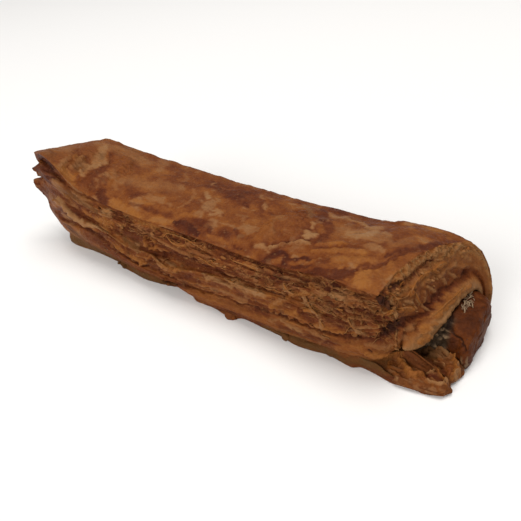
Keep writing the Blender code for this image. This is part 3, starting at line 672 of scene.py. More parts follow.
    ("maroon", 0.7, -0.2, 0.5, (61.5, 1.5, 0.9), (62.4, 1.62, 0.9), (62, 1.74, 0.8)),
    ("pale", 0.5, 0.1, 0.8, (-62, 1.45, 3), (-50, 1.5, 3), (-40, 1.6, 3)),
    ("rust", 0.7, 0.1, 0.5, (-77, 1.34, 2.4), (-73, 1.18, 3), (-68, 1.11, 2)),
    ("maroon", 0.9, 0.1, 0.4, (-66, 1.13, 1.5), (-61.9, 1.08, 1.8), (-59.5, 1.07, 1.0)),
    ("amber", 1.0, -0.2, 0.3, (-57, 1.07, 1.3), (-53, 1.09, 2.2), (-48, 1.09, 1.8), (-44, 1.07, 1.4)),
    ("cream", 0.7, 0.2, 0.4, (-37, 1.04, 1.2), (-32, 1.06, 1.5), (-27, 1.1, 0.9)),
    ("pale", 0.7, 0.0, 0.9, (-84, 1.92, 2.5), (-74, 1.88, 3.5), (-64, 1.84, 3)),
)

# Marks on the layered front and the mouth, on an upright board just in front of the
# roll: along the roll, height and half width. They are carried to the roll in straight
# lines from the spot where the maker's eye was.
boardEye = (103.5, -133.8, 133.3)
boardMarks = (
    # The olive marks along the foot are partly the bottom sheet's underbaked dough and partly painted shade under the
    # overhanging layers.
    ("olive", 0.9, 0.0, 0.5, (-94, 2, 2), (-86, 4.5, 2.6), (-78, 5, 1.8), (-64, 4.6, 1.4), (-50, 2.8, 1.8), (-38, 2.4, 2),
     (-31, 4, 1)),
    ("olive", 0.9, 0.0, 0.4, (14, 2.4, 0.9), (24, 2.4, 1.9), (36, 2.6, 2.2), (48, 3, 2.4), (56, 5.4, 3.6), (61, 7, 3)),
    ("rust", 0.7, 0.0, 0.5, (46, 1.4, 1), (56, 3, 1.6), (66, 3, 2), (74, 3, 1.6)),
    ("olive", 0.5, 0.0, 0.8, (-92, 10, 2), (-85, 7.5, 2.6), (-80, 6.5, 2)),
    ("rust", 0.55, 0.0, 0.8, (-110, 21, 3), (-100, 22.5, 3), (-92, 26, 2.4)),
    ("gold", 0.6, 0.0, 0.7, (-108, 26.6, 1.2), (-101, 28.4, 1.4), (-95, 29, 1.2)),
    ("skin", 0.8, 0.0, 0.7, (-106, 17, 2), (-98, 20, 1.6), (-93, 21.5, 1)),
    ("amber", 0.5, 0.2, 0.6, (-104, 15.5, 1), (-97, 18.5, 1), (-92, 20.6, 1)),
    ("rust", 0.7, -0.6, 0.5, (-101, 13.6, 0.8), (-95, 16, 0.8), (-90, 18.6, 0.8)),
    ("amber", 0.8, 0.0, 0.6, (-103, 7.4, 1.4), (-98, 7.6, 1.6), (-93, 8, 1.2)),
    ("skin", 0.8, 0.0, 0.6, (-103, 11, 1.4), (-96, 10.8, 1.6), (-90, 12, 1)),
    ("pale", 0.6, 0.3, 0.5, (-98, 10.4, 0.6), (-90, 11.8, 0.6), (-84, 12.4, 0.6)),
    ("rust", 0.8, -0.9, 0.5, (-97, 12.8, 0.9), (-88, 13.6, 1.1), (-80, 14.4, 1), (-72, 14.8, 1.4), (-64, 13.4, 1.2),
     (-58, 11, 0.8)),
    ("maroon", 0.8, -0.4, 0.5, (-79, 14.2, 0.8), (-74, 14.6, 1.1), (-69, 14, 0.8), (-64, 12.4, 0.8)),
    ("rust", 0.8, 0.2, 0.7, (-80, 10, 2), (-75, 9, 2.6), (-70, 10.6, 2), (-64, 9, 2)),
    ("gold", 0.8, 0.2, 0.6, (-86, 11, 1), (-82, 12.6, 1)),
    ("cream", 1.0, 1.3, 0.5, (-91, 24.6, 0.9), (-88, 22.4, 1.5), (-84, 20.4, 1.5), (-82, 17.8, 1.5), (-77, 17.2, 1.3),
     (-71, 18.2, 1.1), (-66, 18.6, 0.9), (-61, 17.8, 0.7)),
    ("cream", 0.6, 0.5, 0.5, (-96, 21.4, 0.6), (-91, 21, 0.8), (-87, 19.4, 0.9)),
    ("amber", 0.9, 0.4, 0.5, (-88, 19.6, 1.2), (-85, 18, 1.4)),
    ("rust", 0.7, -0.8, 0.4, (-88, 17.4, 0.5), (-85.5, 17.2, 0.6)),
    ("rust", 0.8, -0.7, 0.5, (-80, 22.6, 1), (-76, 22, 1.6), (-72, 21, 0.9), (-65, 20.4, 0.6)),
    ("amber", 0.8, 0.3, 0.5, (-73, 23, 1.2), (-68, 22.6, 1)),
    ("amber", 0.95, 0.5, 0.4, (-64, 22.4, 1.6), (-60, 23, 2.2), (-57, 24.4, 1.8)),
    ("rust", 0.7, -0.6, 0.5, (-84, 25, 1), (-81, 26, 1.2), (-76, 25, 1.6), (-73, 26.6, 1)),
    ("amber", 0.7, 0.6, 0.4, (-84, 28, 0.8), (-80.6, 27.4, 0.7), (-82, 26, 0.5)),
    ("pale", 0.7, 0.5, 0.4, (-78, 27.6, 0.6), (-74.6, 27, 0.8), (-72, 28, 0.5)),
    ("rust", 0.8, -0.6, 0.4, (-70, 25, 0.8), (-68, 24.6, 0.6), (-66, 25.2, 0.5)),
    ("olive", 0.6, 0.0, 0.9, (-88, 30, 1.6), (-80, 30, 2.4), (-70, 28.6, 2), (-64, 27, 1.6)),
    ("pale", 0.7, 0.4, 0.4, (-91, 31.4, 0.7), (-87, 32.6, 0.8), (-83, 33.4, 0.6)),
    ("pale", 0.6, 0.4, 0.4, (-77, 31.2, 0.6), (-72, 30.4, 0.8), (-67, 30.6, 0.5)),
    ("grey", 0.6, 0.3, 0.4, (-71, 28.8, 0.5), (-68, 28.4, 0.8)),
    ("cream", 1.0, 0.8, 0.35, (-58.6, 28.2, 1.4), (-56, 28.4, 1.6), (-53.6, 29, 0.8)),
    ("cream", 0.7, 0.5, 0.4, (-60.6, 26.4, 0.9), (-57, 27, 0.7)),
    ("char", 0.7, -1.2, 0.4, (-61.4, 29, 0.7), (-60, 28, 0.6)),
    # Painted shadow: these maroon and char marks paint the dark cavity under the left flap's edge.
    ("maroon", 0.8, -0.6, 0.7, (-97, 39.6, 0.9), (-93, 39.6, 1.3), (-88, 38.6, 1.3), (-84, 37, 0.7)),
    ("char", 0.7, -0.5, 0.7, (-96, 40.4, 0.6), (-91, 40.2, 0.7), (-86, 38.4, 0.5)),
    ("maroon", 0.7, -0.9, 0.6, (-99, 34.8, 0.5), (-95, 36, 0.8), (-90, 37.6, 0.7), (-84, 36, 0.6), (-81, 35, 0.5)),
    ("maroon", 0.7, -0.8, 0.5, (-98, 32.4, 0.5), (-92, 33.4, 0.6), (-88, 34.6, 0.6)),
    ("rust", 0.7, 0.0, 0.7, (-111, 32.4, 1.2), (-103, 34, 1.4)),
    ("gold", 0.5, 0.2, 0.6, (-107, 36.4, 0.7), (-103, 38, 0.9), (-97, 38.6, 0.9)),
    ("rust", 0.8, -0.4, 0.5, (-79, 33.2, 0.4), (-74, 32.4, 0.5), (-68, 32.3, 0.5), (-62, 31.6, 0.5)),
    ("rust", 0.85, -0.9, 0.5, (-54, 27, 1.6), (-48, 28, 2.4), (-43, 27.6, 1.6)),
    ("maroon", 0.7, -0.3, 0.5, (-53, 29.6, 0.6), (-48, 30, 0.9), (-44, 29.8, 0.6)),
    ("maroon", 0.7, -0.9, 0.5, (-57.5, 19.4, 1.3), (-54, 20.4, 1.8), (-51.6, 19, 1)),
    ("rust", 0.85, -0.8, 0.5, (-49, 22.4, 2), (-44, 21.6, 2.2), (-41, 21, 1)),
    ("olive", 0.6, 0.0, 0.8, (-50, 17.6, 1.4), (-44, 17, 1.4)),
    ("grey", 0.6, 0.3, 0.5, (-47, 15.6, 0.8), (-43, 15.2, 0.8)),
    ("amber", 0.85, 0.6, 0.4, (-58, 12.2, 0.9), (-55, 12, 1.1), (-52.6, 11.4, 0.7)),
    ("amber", 0.9, 0.7, 0.4, (-50, 10.4, 0.6), (-46, 10.6, 1.3), (-42, 10.6, 0.8)),
    ("skin", 0.7, 0.3, 0.6, (-59, 14.4, 0.8), (-55, 14.8, 1)),
    ("rust", 0.7, -0.5, 0.5, (-50, 13, 1), (-46, 13.4, 1)),
    ("maroon", 0.8, -0.9, 0.45, (-56, 9.6, 0.5), (-50, 8.6, 0.6), (-43, 8.2, 0.7), (-38, 9, 0.5), (-32, 8.4, 0.5),
     (-26, 8, 0.4)),
    ("maroon", 0.85, -0.4, 0.5, (-27, 30.8, 0.4), (-20, 31, 0.7), (-12, 30.9, 0.8), (-4, 30.5, 0.9), (0, 30, 0.6),
     (7, 29.2, 0.5), (16, 29.4, 0.4), (30, 30.2, 0.4), (38, 31, 0.4)),
    ("amber", 0.85, 0.3, 0.4, (-41, 28.6, 0.8), (-36, 29.2, 1.1), (-31, 30, 1.2), (-26, 29.6, 0.5)),
    ("rust", 0.9, -1.0, 0.5, (-35, 26.8, 0.7), (-30, 26.6, 1.1), (-28, 25.6, 0.6)),
    ("maroon", 0.8, -1.1, 0.4, (-23, 27.4, 0.7), (-20.5, 27.6, 1.1), (-17.6, 27.6, 0.8)),
    ("gold", 0.9, 0.8, 0.4, (-31, 25.2, 0.3), (-27, 26.6, 0.35), (-25, 28.4, 0.35), (-20, 29.4, 0.35), (-16, 29, 0.4),
     (-10, 27.8, 0.4), (-7, 27.4, 0.4)),
    ("amber", 0.9, 0.8, 0.4, (-25.4, 27.4, 0.35), (-23.6, 25.6, 0.5), (-20, 25, 0.7), (-17, 26, 0.5), (-16, 28.6, 0.4)),
    ("rust", 0.8, -0.8, 0.4, (-14, 26.2, 0.6), (-10, 26.6, 0.7), (-6, 26.2, 0.6)),
    ("pale", 0.7, 0.4, 0.5, (-15, 24.6, 0.9), (-11, 25, 1.1), (-7.6, 24.8, 0.8)),
    ("pale", 0.6, 0.5, 0.4, (-37, 25.6, 0.5), (-34, 25, 0.5), (-30, 24, 0.5), (-25, 23.4, 0.6), (-20, 23.4, 0.6),
     (-16, 22, 0.5), (-14.6, 20.6, 0.3)),
    ("rust", 0.9, -1.2, 0.5, (-36, 21.6, 1.6), (-33.4, 21, 1.3)),
    ("amber", 0.9, 0.9, 0.35, (-38, 22.6, 0.4), (-36, 24, 0.4), (-32.6, 23.4, 0.4), (-31.4, 21, 0.5), (-33, 18.8, 0.7),
     (-36, 18.2, 0.6), (-38, 20, 0.5), (-38, 22.6, 0.4)),
    ("rust", 0.85, -0.6, 0.6, (-42, 16.8, 0.9), (-36, 16.6, 1), (-30, 17.2, 1.8), (-24, 19, 1.8), (-17, 19, 1.6),
     (-10, 19.6, 1.2), (-4, 19.6, 1.2), (2, 20, 0.8), (10, 20, 0.7), (18, 20.2, 0.6)),
    ("maroon", 0.8, -0.5, 0.5, (-30, 17.6, 1.0), (-24, 20.8, 0.6), (-14, 21, 0.6), (-6, 20.4, 0.7), (0, 19.2, 0.8)),
    ("gold", 0.7, 0.4, 0.5, (-12, 22.8, 0.9), (-8, 22.4, 0.8), (-4, 21.4, 0.5)),
    ("cream", 1.0, 0.9, 0.3, (-4.2, 25.1, 0.4), (-3.4, 24.9, 0.45)),
    ("amber", 0.9, 0.8, 0.3, (-6, 24, 0.3), (-4.6, 23.3, 0.4), (-3, 23.6, 0.35), (-2.2, 24.4, 0.3)),
    ("char", 0.8, -0.8, 0.3, (-5, 24.4, 0.4), (-3.8, 24.1, 0.4)),
    ("amber", 0.95, 1.4, 0.4, (-43, 9.6, 0.5), (-40, 10.6, 0.6), (-37, 13.4, 0.7), (-34.6, 15, 0.7), (-32, 13.2, 0.9),
     (-29.4, 12, 1.1), (-26, 12.6, 0.8), (-22.6, 14, 0.6), (-19, 14.4, 0.4)),
    ("cream", 0.4, 0.3, 0.5, (-34, 14.6, 0.5), (-31, 12.8, 0.7), (-28, 12.4, 0.6)),
    ("grey", 0.75, 0.2, 0.4, (-28.6, 14.6, 0.6), (-25, 14.8, 0.8), (-23, 14.8, 0.5)),
    ("rust", 0.85, -0.7, 0.5, (-38, 11.4, 1), (-35, 12, 1.6), (-32.4, 10.8, 0.8)),
    ("rust", 0.85, -0.5, 0.5, (-26, 9.8, 1), (-21, 11.4, 1.8), (-17, 12, 1.6), (-13, 11.2, 0.9)),
    ("maroon", 0.8, -0.9, 0.4, (-22, 7.6, 0.4), (-17, 7.2, 0.5), (-13, 7.4, 0.6), (-9, 8.6, 0.5), (-3, 9, 0.5), (3, 9, 0.5),
     (9, 10, 0.5), (16, 10.8, 0.5), (25, 11.2, 0.6), (33, 11.4, 0.7)),
    ("gold", 0.8, 0.2, 0.7, (-20, 4.6, 1.2), (-10, 5.2, 2), (0, 6.2, 2), (10, 6, 2.4), (18, 5.6, 2)),
    ("cream", 0.75, 0.4, 0.5, (-9, 15.2, 0.7), (-3, 15.6, 1), (1, 15.2, 1.1), (4, 17.4, 1.4), (8, 17, 1.6), (12, 17.2, 1.6),
     (15.4, 17.6, 1)),
    ("cream", 0.9, 0.4, 0.4, (0.4, 17.8, 0.6), (2.4, 17.6, 0.8), (5, 19.4, 0.6), (5.6, 18, 0.8)),
    ("cream", 0.9, 0.4, 0.4, (12.4, 16.8, 0.9), (14, 18, 0.7), (12.6, 18.8, 0.5)),
    ("cream", 0.8, 0.3, 0.4, (1.4, 15, 0.8), (2.2, 14.2, 0.6)),
    ("skin", 0.6, 0.3, 0.6, (-5, 13.8, 0.8), (2, 13.6, 0.9), (9, 14.2, 1.2), (17, 14.8, 1)),
    ("pale", 0.6, 0.2, 0.5, (-8, 10.8, 0.8), (-3, 11, 1), (3, 11.4, 1), (8, 11, 0.8)),
    ("rust", 0.7, -0.7, 0.5, (4, 12.4, 0.6), (7, 13, 0.8), (12, 12, 0.5), (16, 11.6, 0.4)),
    ("amber", 0.6, 0.2, 0.5, (8, 12.6, 0.5), (14, 13.2, 0.6), (20, 13.4, 0.8)),
    ("amber", 0.75, 0.3, 0.4, (9, 27.8, 0.7), (12, 27.8, 0.9), (14, 27.4, 0.6), (4, 27.2, 0.5)),
    ("rust", 0.8, -0.8, 0.5, (-6, 29, 0.8), (0, 28, 1), (6, 26.8, 0.9), (12, 26.2, 0.7), (18, 26.4, 0.8)),
    ("rust", 0.7, -0.4, 0.5, (2, 23, 0.8), (6, 21.6, 0.9), (11, 21.4, 0.8), (17, 23.4, 1)),
    ("pale", 0.6, 0.3, 0.4, (6, 22.6, 0.5), (9, 22.4, 0.6), (12.6, 23.6, 0.6), (14, 25, 0.5)),
    ("gold", 0.8, 0.8, 0.4, (15.4, 20.8, 0.25), (18, 21, 0.35), (21, 21.2, 0.4), (24, 21.4, 0.4)),
    ("char", 0.5, -0.5, 0.4, (15, 20, 0.3), (19, 20, 0.4), (23, 20.4, 0.3)),
    # Painted shadow: this char mark paints the black shadow beneath the lifted stretch of the bottom edge.
    ("char", 0.9, -2.2, 0.4, (-33.4, 4.4, 0.5), (-30, 4.6, 0.7), (-26.4, 5, 0.5)),
    ("gold", 0.9, 1.2, 0.3, (-31.2, 6.4, 0.4), (-31, 4, 0.4), (-31.2, 3, 0.5)),
    ("rust", 0.8, -1.0, 0.5, (27, 27.2, 0.9), (30, 27, 1.4), (32, 26.6, 0.8)),
    ("char", 0.5, -0.7, 0.4, (20, 27.8, 0.5), (24, 27.4, 0.6), (26, 28, 0.4)),
    ("grey", 0.7, 0.5, 0.4, (23, 28, 0.4), (25.4, 28.6, 0.5), (28, 29, 0.4), (31, 28.8, 0.4)),
    ("cream", 0.75, 0.6, 0.4, (24, 25.6, 0.4), (25, 23.4, 0.6), (28, 22.6, 0.6)),
    ("amber", 0.85, 0.9, 0.4, (17, 13.4, 0.8), (20.4, 15.6, 0.9), (23, 18.4, 1), (26, 21, 0.8), (29.6, 23.4, 0.5),
     (32, 25, 0.4)),
    ("pale", 0.7, 0.4, 0.5, (20, 16.4, 0.8), (22.6, 19, 0.9), (24.4, 19.8, 0.8)),
    ("amber", 0.95, 1.1, 0.4, (23.6, 13.6, 0.7), (27, 15, 1), (30, 17.2, 0.7), (33, 18.6, 0.8), (35.6, 18.6, 0.5)),
    ("cream", 0.85, 0.9, 0.4, (31.6, 23.6, 0.6), (33, 21, 0.9), (34, 19.4, 0.9), (36, 18, 0.5)),
    ("cream", 0.7, 0.6, 0.4, (36.4, 16.6, 0.5), (37.6, 14.4, 0.8), (38, 13, 0.6)),
    ("skin", 0.7, 0.2, 0.7, (26, 18.6, 1.2), (29, 20.6, 1.6), (30, 22.6, 1)),
    ("rust", 0.8, -0.5, 0.5, (24, 17, 0.6), (28, 18.2, 0.6), (30.6, 15, 1.2), (34, 14.6, 1.4), (33.6, 12.8, 0.8)),
    ("rust", 0.85, -0.8, 0.5, (37.4, 18, 1), (41, 17.4, 1.6), (45, 18, 1.2)),
    ("rust", 0.7, -0.6, 0.5, (35, 22.6, 0.8), (38, 23.6, 1), (42, 23, 0.8)),
    ("cream", 0.8, 0.8, 0.4, (40.6, 28.6, 0.7), (42.6, 28.6, 1.3), (44.4, 28.2, 0.7)),
    ("pale", 0.6, 0.5, 0.4, (35, 27.4, 0.6), (38, 27.4, 0.7), (46, 28.6, 1.2), (50, 29.6, 1)),
    ("cream", 0.7, 0.6, 0.4, (46, 21.6, 0.6), (47.4, 18.6, 0.9), (49, 17.2, 0.9), (51, 17.6, 0.6)),
    ("amber", 0.9, 0.9, 0.4, (38, 13.2, 0.35), (42, 13.8, 0.5), (46, 14.8, 0.5), (49, 16.4, 0.4)),
    ("char", 0.45, -1.0, 0.5, (22, 11.6, 0.5), (30, 11.6, 0.6), (38, 11.6, 0.6), (45, 12.8, 0.8), (50, 14.8, 0.8)),
    ("maroon", 0.8, -0.5, 0.5, (40, 12, 0.6), (46, 13.2, 0.8), (51, 15.2, 0.9), (55, 17.2, 1.2)),
    ("maroon", 0.9, -0.8, 0.55, (56, 18, 1.3), (59, 22, 2.0), (61.5, 25.6, 1.8), (64, 28.6, 1.1), (67, 30.6, 0.9),
     (69, 33.4, 0.7), (70.6, 36.6, 0.8), (72.4, 40.4, 0.8), (74.6, 44, 0.8), (77, 47.6, 0.7)),
    ("char", 0.6, -0.3, 0.7, (58.6, 20.6, 1.2), (60.4, 23.4, 1.8), (61, 26, 1.2)),
    ("maroon", 0.8, -0.6, 0.6, (57, 33.4, 1.6), (59, 37, 1.4), (61.6, 39.6, 1.4), (64, 43, 1.1), (66.4, 46.4, 0.9),
     (68, 49, 0.7)),
    ("char", 0.75, -0.8, 0.6, (55.6, 32.4, 1.2), (57, 31.8, 1.6), (58.4, 31, 1)),
    ("char", 0.5, -0.4, 0.6, (59, 37.4, 0.9), (61.4, 40.6, 0.9)),
    ("skin", 0.75, -0.3, 0.6, (64.6, 30.6, 0.8), (66.4, 34.4, 1.6), (68.6, 38.4, 1.9), (71, 42, 1.9), (74, 46, 1.9)),
    ("gold", 0.9, 0.8, 0.4, (60, 34, 0.3), (62, 35, 0.35), (63.6, 36.6, 0.35), (64.2, 38.6, 0.35)),
    ("gold", 0.9, 0.8, 0.4, (57.6, 36, 0.3), (60, 35, 0.3), (61, 33.4, 0.3), (60.6, 31.6, 0.3)),
    ("gold", 0.9, 0.8, 0.4, (61.6, 36.6, 0.3), (61.2, 38.8, 0.3), (62.4, 40.8, 0.3)),
    ("gold", 0.9, 0.8, 0.4, (57, 27.6, 0.4), (59, 29.6, 0.4), (61, 30.2, 0.5)),
    ("amber", 0.9, 0.9, 0.4, (64, 36, 0.4), (64.5, 39, 0.45), (65.3, 41.6, 0.5), (66.6, 43.8, 0.6), (68.6, 45.8, 0.6),
     (70.2, 47.8, 0.6), (71.8, 49.2, 0.6)),
    ("amber", 0.95, 1.2, 0.35, (60.8, 31, 0.6), (63, 31.9, 0.9), (65.4, 32.5, 0.6)),
    ("cream", 0.7, 0.5, 0.4, (63.4, 33.8, 0.8), (65, 34, 0.5)),
    ("cream", 0.75, 0.7, 0.4, (65.2, 37.8, 0.4), (66.2, 35.8, 0.6), (67.2, 34.4, 0.4)),
    ("cream", 0.75, 0.7, 0.4, (69, 40.3, 0.5), (70.4, 39.7, 0.6)),
    ("cream", 0.6, 0.6, 0.4, (68.2, 34.6, 0.35), (69, 33.5, 0.45)),
    ("cream", 0.6, 0.6, 0.4, (71, 44, 0.5), (72, 43, 0.5)),
    ("cream", 0.6, 0.6, 0.4, (73, 46.4, 0.5), (74.4, 45.6, 0.5)),
    ("pale", 0.7, 0.6, 0.4, (68.2, 39, 0.3), (69, 37.4, 0.4), (69, 35.6, 0.3)),
    ("pale", 0.6, 0.5, 0.4, (68.6, 42.4, 0.5), (70, 45, 0.4)),
    ("pale", 0.5, 0.5, 0.5, (71.5, 46.4, 0.4), (74, 48.6, 0.5), (76.6, 49.6, 0.5)),
    ("amber", 0.6, 0.4, 0.6, (43.5, 7.4, 1.6), (46, 9, 2.4), (50, 10.4, 2), (48, 12, 0.9)),
    ("cream", 0.8, 0.4, 0.5, (21.6, 8.4, 0.5), (25, 8.4, 0.9), (28.6, 7.8, 1.2), (30, 6.8, 0.6)),
    ("pale", 0.7, 0.3, 0.5, (31, 9.6, 0.6), (34.4, 9.2, 0.9), (38, 8.8, 0.6), (36, 6.4, 0.6)),
    ("rust", 0.7, -0.3, 0.5, (21, 6.6, 0.8), (25, 6.2, 0.8), (35, 7.6, 0.5), (40.6, 8, 0.9)),
    ("pale", 0.6, 0.3, 0.5, (17, 7.2, 0.8), (20.6, 9.6, 0.6), (24, 10.2, 0.4)),
    ("amber", 0.9, 0.7, 0.4, (52, 9.8, 0.7), (56, 10.6, 0.9), (60, 12.4, 0.8), (63, 15.2, 0.7)),
    ("char", 0.7, -0.5, 0.3, (53.6, 11.4, 0.25), (54.4, 11.4, 0.25)),
    ("pale", 0.6, 0.4, 0.6, (52.4, 13.2, 0.6), (57, 14.6, 1.1), (61, 18, 1.1), (64, 21.4, 1)),
    ("skin", 0.8, 0.2, 0.6, (58.6, 17, 0.9), (62, 20.8, 1.0), (65, 25, 1.1), (66.4, 28, 0.9)),
    ("pale", 0.7, 0.3, 0.5, (64.6, 24.6, 0.8), (66, 26.8, 0.9)),
    ("amber", 0.9, 0.7, 0.45, (66.6, 21.4, 0.9), (68.4, 23, 1.1), (69, 26.4, 1.1), (70, 29, 0.8)),
    ("rust", 0.6, -0.3, 0.5, (66.8, 24.6, 0.4), (67.6, 28, 0.5), (70.8, 32.6, 0.5), (72.8, 36.6, 0.7), (74.2, 39.6, 0.4)),
    ("amber", 0.85, 0.5, 0.5, (70.2, 31.4, 0.7), (72, 34.6, 0.8), (74.8, 39.8, 0.9), (77, 44, 0.9)),
    ("cream", 0.85, 0.5, 0.5, (69.6, 23.4, 0.5), (70, 27, 0.5), (71.6, 29.6, 0.6), (73.8, 32.6, 0.6), (75.6, 36, 0.7),
     (77, 39.8, 0.6), (78.8, 43.8, 0.5)),
    ("cream", 0.85, 0.4, 0.6, (-91.5, 25.6, 0.8), (-88, 22.6, 1.6), (-84, 19.4, 1.6), (-80.5, 18.2, 0.9)),
    ("maroon", 0.8, -0.3, 0.6, (51, 26.4, 1.2), (53.6, 25.8, 1.7), (56, 24.6, 1.4)),
    # Painted shade: these char and maroon marks paint the dark inside of a small hole at the mouth's far end.
    ("char", 0.7, -0.8, 0.6, (81.2, 46.4, 0.9), (81.8, 44.6, 0.8)),
    ("maroon", 0.8, -0.6, 0.6, (80.4, 47.2, 1.0), (81.6, 43.4, 1.2)),
    ("rust", 0.45, -0.2, 1.0, (-16.8, 25.1, 2.0), (-9.1, 24.4, 2.4), (0.7, 25.4, 2.0)),
    ("rust", 0.5, -0.2, 0.9, (-104, 38.0, 1.6), (-98, 36.4, 2.0)),
    ("rust", 0.5, 0.0, 0.9, (62.6, 2.3, 2.0), (66.2, 2.3, 2.0)),
)


def markDistance(u, v, stops):
    # how many half widths away from a line through the stops, and the nearest stop's share
    best = np.full(u.shape, 99.0)
    if len(stops) == 1:
        stops = (stops[0], stops[0])
    for (u0, v0, w0), (u1, v1, w1) in zip(stops[:-1], stops[1:]):
        du = u1 - u0
        dv = v1 - v0
        t = np.clip(((u - u0) * du + (v - v0) * dv) / max(du * du + dv * dv, 1e-6), 0, 1)
        gap = np.hypot(u - u0 - t * du, v - v0 - t * dv)
        best = np.minimum(best, gap / (w0 + t * (w1 - w0)))
    return best


def layMarks(marks, u, v, acrossScale, look, lift, allowed, fray=0.35):
    # brush each mark over the look (toast, cream, olive, char) and add its lift
    frayed = fray * cloud(flat3(u, v), (1.5, 0.9, 1), 307, 3)
    thin = 0.95 + 0.3 * cloud(flat3(u, v), (3.0, 1.8, 1), 311, 3)
    for name, strength, height, softness, *stops in marks:
        stops = [(a, b * acrossScale, w) for a, b, w in stops]
        reach = 3 * max(stop[2] for stop in stops)
        near = allowed & (u > min(s[0] for s in stops) - reach) & (u < max(s[0] for s in stops) + reach)
        if not near.any():
            continue
        away = markDistance(u[near], v[near], stops)
        away = away + frayed[near] * min(1.0, reach / 3.0)
        mask = strength * (1 - ramp(away, 0.9 - 0.8 * softness, 1.15 + 0.55 * softness))
        mask = np.clip(mask * thin[near], 0, 1)
        for k in range(4):
            look[k][near] += mask * (paints[name][k] - look[k][near])
        lift[near] += height * (1 - ramp(away, 0.15, 1.35))


def boardPlace(points):
    # where the line from the maker's eye through each point meets the board
    eye = np.array(boardEye)
    x = points[..., 0]
    for _ in range(3):
        boardY = along(roll["frontLine"], x) - 1
        t = (boardY - eye[1]) / (points[..., 1] - eye[1])
        x = eye[0] + t * (points[..., 0] - eye[0])
    return x, eye[2] + t * (points[..., 2] - eye[2])


def surfaceNormals(grid):
    alongRows = np.roll(grid, -1, axis=1) - np.roll(grid, 1, axis=1)
    alongColumns = np.roll(grid, -1, axis=0) - np.roll(grid, 1, axis=0)
    normals = np.cross(alongColumns, alongRows)
    for _ in range(4):
        normals = normals + 0.5 * (np.roll(normals, 1, 0) + np.roll(normals, -1, 0)
                                   + np.roll(normals, 1, 1) + np.roll(normals, -1, 1))
    return normals / np.maximum(np.linalg.norm(normals, axis=-1, keepdims=True), 1e-9)


def warped(u, v, seed):
    # ragged edges for the marks
    big = flat3(u, v) / 1.0
    du = 0.7 * cloud(big, 4.5, seed, 2) + 0.5 * cloud(big, 1.2, seed + 5, 2)
    dv = 0.35 * cloud(big, 4.5, seed + 11, 2) + 0.35 * cloud(big, 1.2, seed + 17, 2)
    return u + du, v + dv


def buildWrap():
    rows = np.concatenate([
        np.sort(np.append(np.linspace(0, 1, rollEnds["frontRows"], endpoint=False), rollEnds["extraRows"])),
        np.linspace(1, 2, rollEnds["topRows"], endpoint=False),
        np.linspace(2, 3, rollEnds["backRows"], endpoint=False),
        np.linspace(3, 4, rollEnds["underRows"], endpoint=False)])
    outerX = spreadStations(rows, rollEnds["stations"], rollEnds["leafEnd"], rollEnds["mouthEnd"])
    outerY, outerZ = outerPoint(rows[:, None] + 0 * outerX, outerX)
    outer = np.stack([outerX, outerY, outerZ], -1)
    innerX = spreadStations(rows, rollEnds["hollowStations"], rollEnds["leafInnerEnd"],
                            rollEnds["mouthInnerEnd"])
    innerY, innerZ = innerPoint(rows[:, None] + 0 * innerX, innerX, sill=True)
    inner = np.stack([innerX, innerY, innerZ], -1)
    columns = []
    zone = []
    shares = []

    def addColumns(grids, zoneNumber, faceShares):
        for grid, faceShare in zip(grids, faceShares):
            columns.append(grid)
            zone.append(zoneNumber)
            shares.append(faceShare)

    addColumns([outer[:, k] for k in range(outer.shape[1])], 0, [0.0] * outer.shape[1])
    mouthShares = np.arange(1, rollEnds["mouthLoops"]) / rollEnds["mouthLoops"]
    addColumns([outer[:, -1] + s * (inner[:, -1] - outer[:, -1]) for s in mouthShares], 1, mouthShares)
    addColumns([inner[:, k] for k in reversed(range(inner.shape[1]))], 3, [1.0] * inner.shape[1])
    leafShares = np.arange(1, rollEnds["leafLoops"]) / rollEnds["leafLoops"]
    addColumns([outer[:, 0] + s * (inner[:, 0] - outer[:, 0]) for s in leafShares[::-1]], 2, leafShares[::-1])
    base = np.stack(columns)
    zone = np.array(zone)[:, None] + 0 * base[..., 0]
    share = np.array(shares)[:, None] + 0 * base[..., 0]
    around = rows[None, :] + 0 * share
    normals = surfaceNormals(base)
    lift, look = wrapLooks(base, around, zone, share)
    points = base + normals * lift[..., None]
    points[..., 2] = np.maximum(points[..., 2], 0.02)
    beyond = np.maximum(roll["frontLimit"] - points[..., 1], 0)  # keeps the leaves inside the frame's box
    points[..., 1] = np.maximum(points[..., 1], roll["frontLimit"]) - 0.6 * (1 - np.exp(-beyond / 0.6))
    inside = (zone == 3).astype(float)
    values = {"toast": look[0], "cream": look[1], "olive": look[2], "char": look[3],
              "net": look[4], "webWhere": look[5], "frillWhere": look[6], "leafWhere": look[7],
              "footWhere": look[8], "glaze": look[9], "inside": inside}
    values = {name: value.ravel() for name, value in values.items()}
    faces = gridFaces(len(columns), len(rows))
    return meshObject("pastryWrap", points.reshape(-1, 3), faces, values)


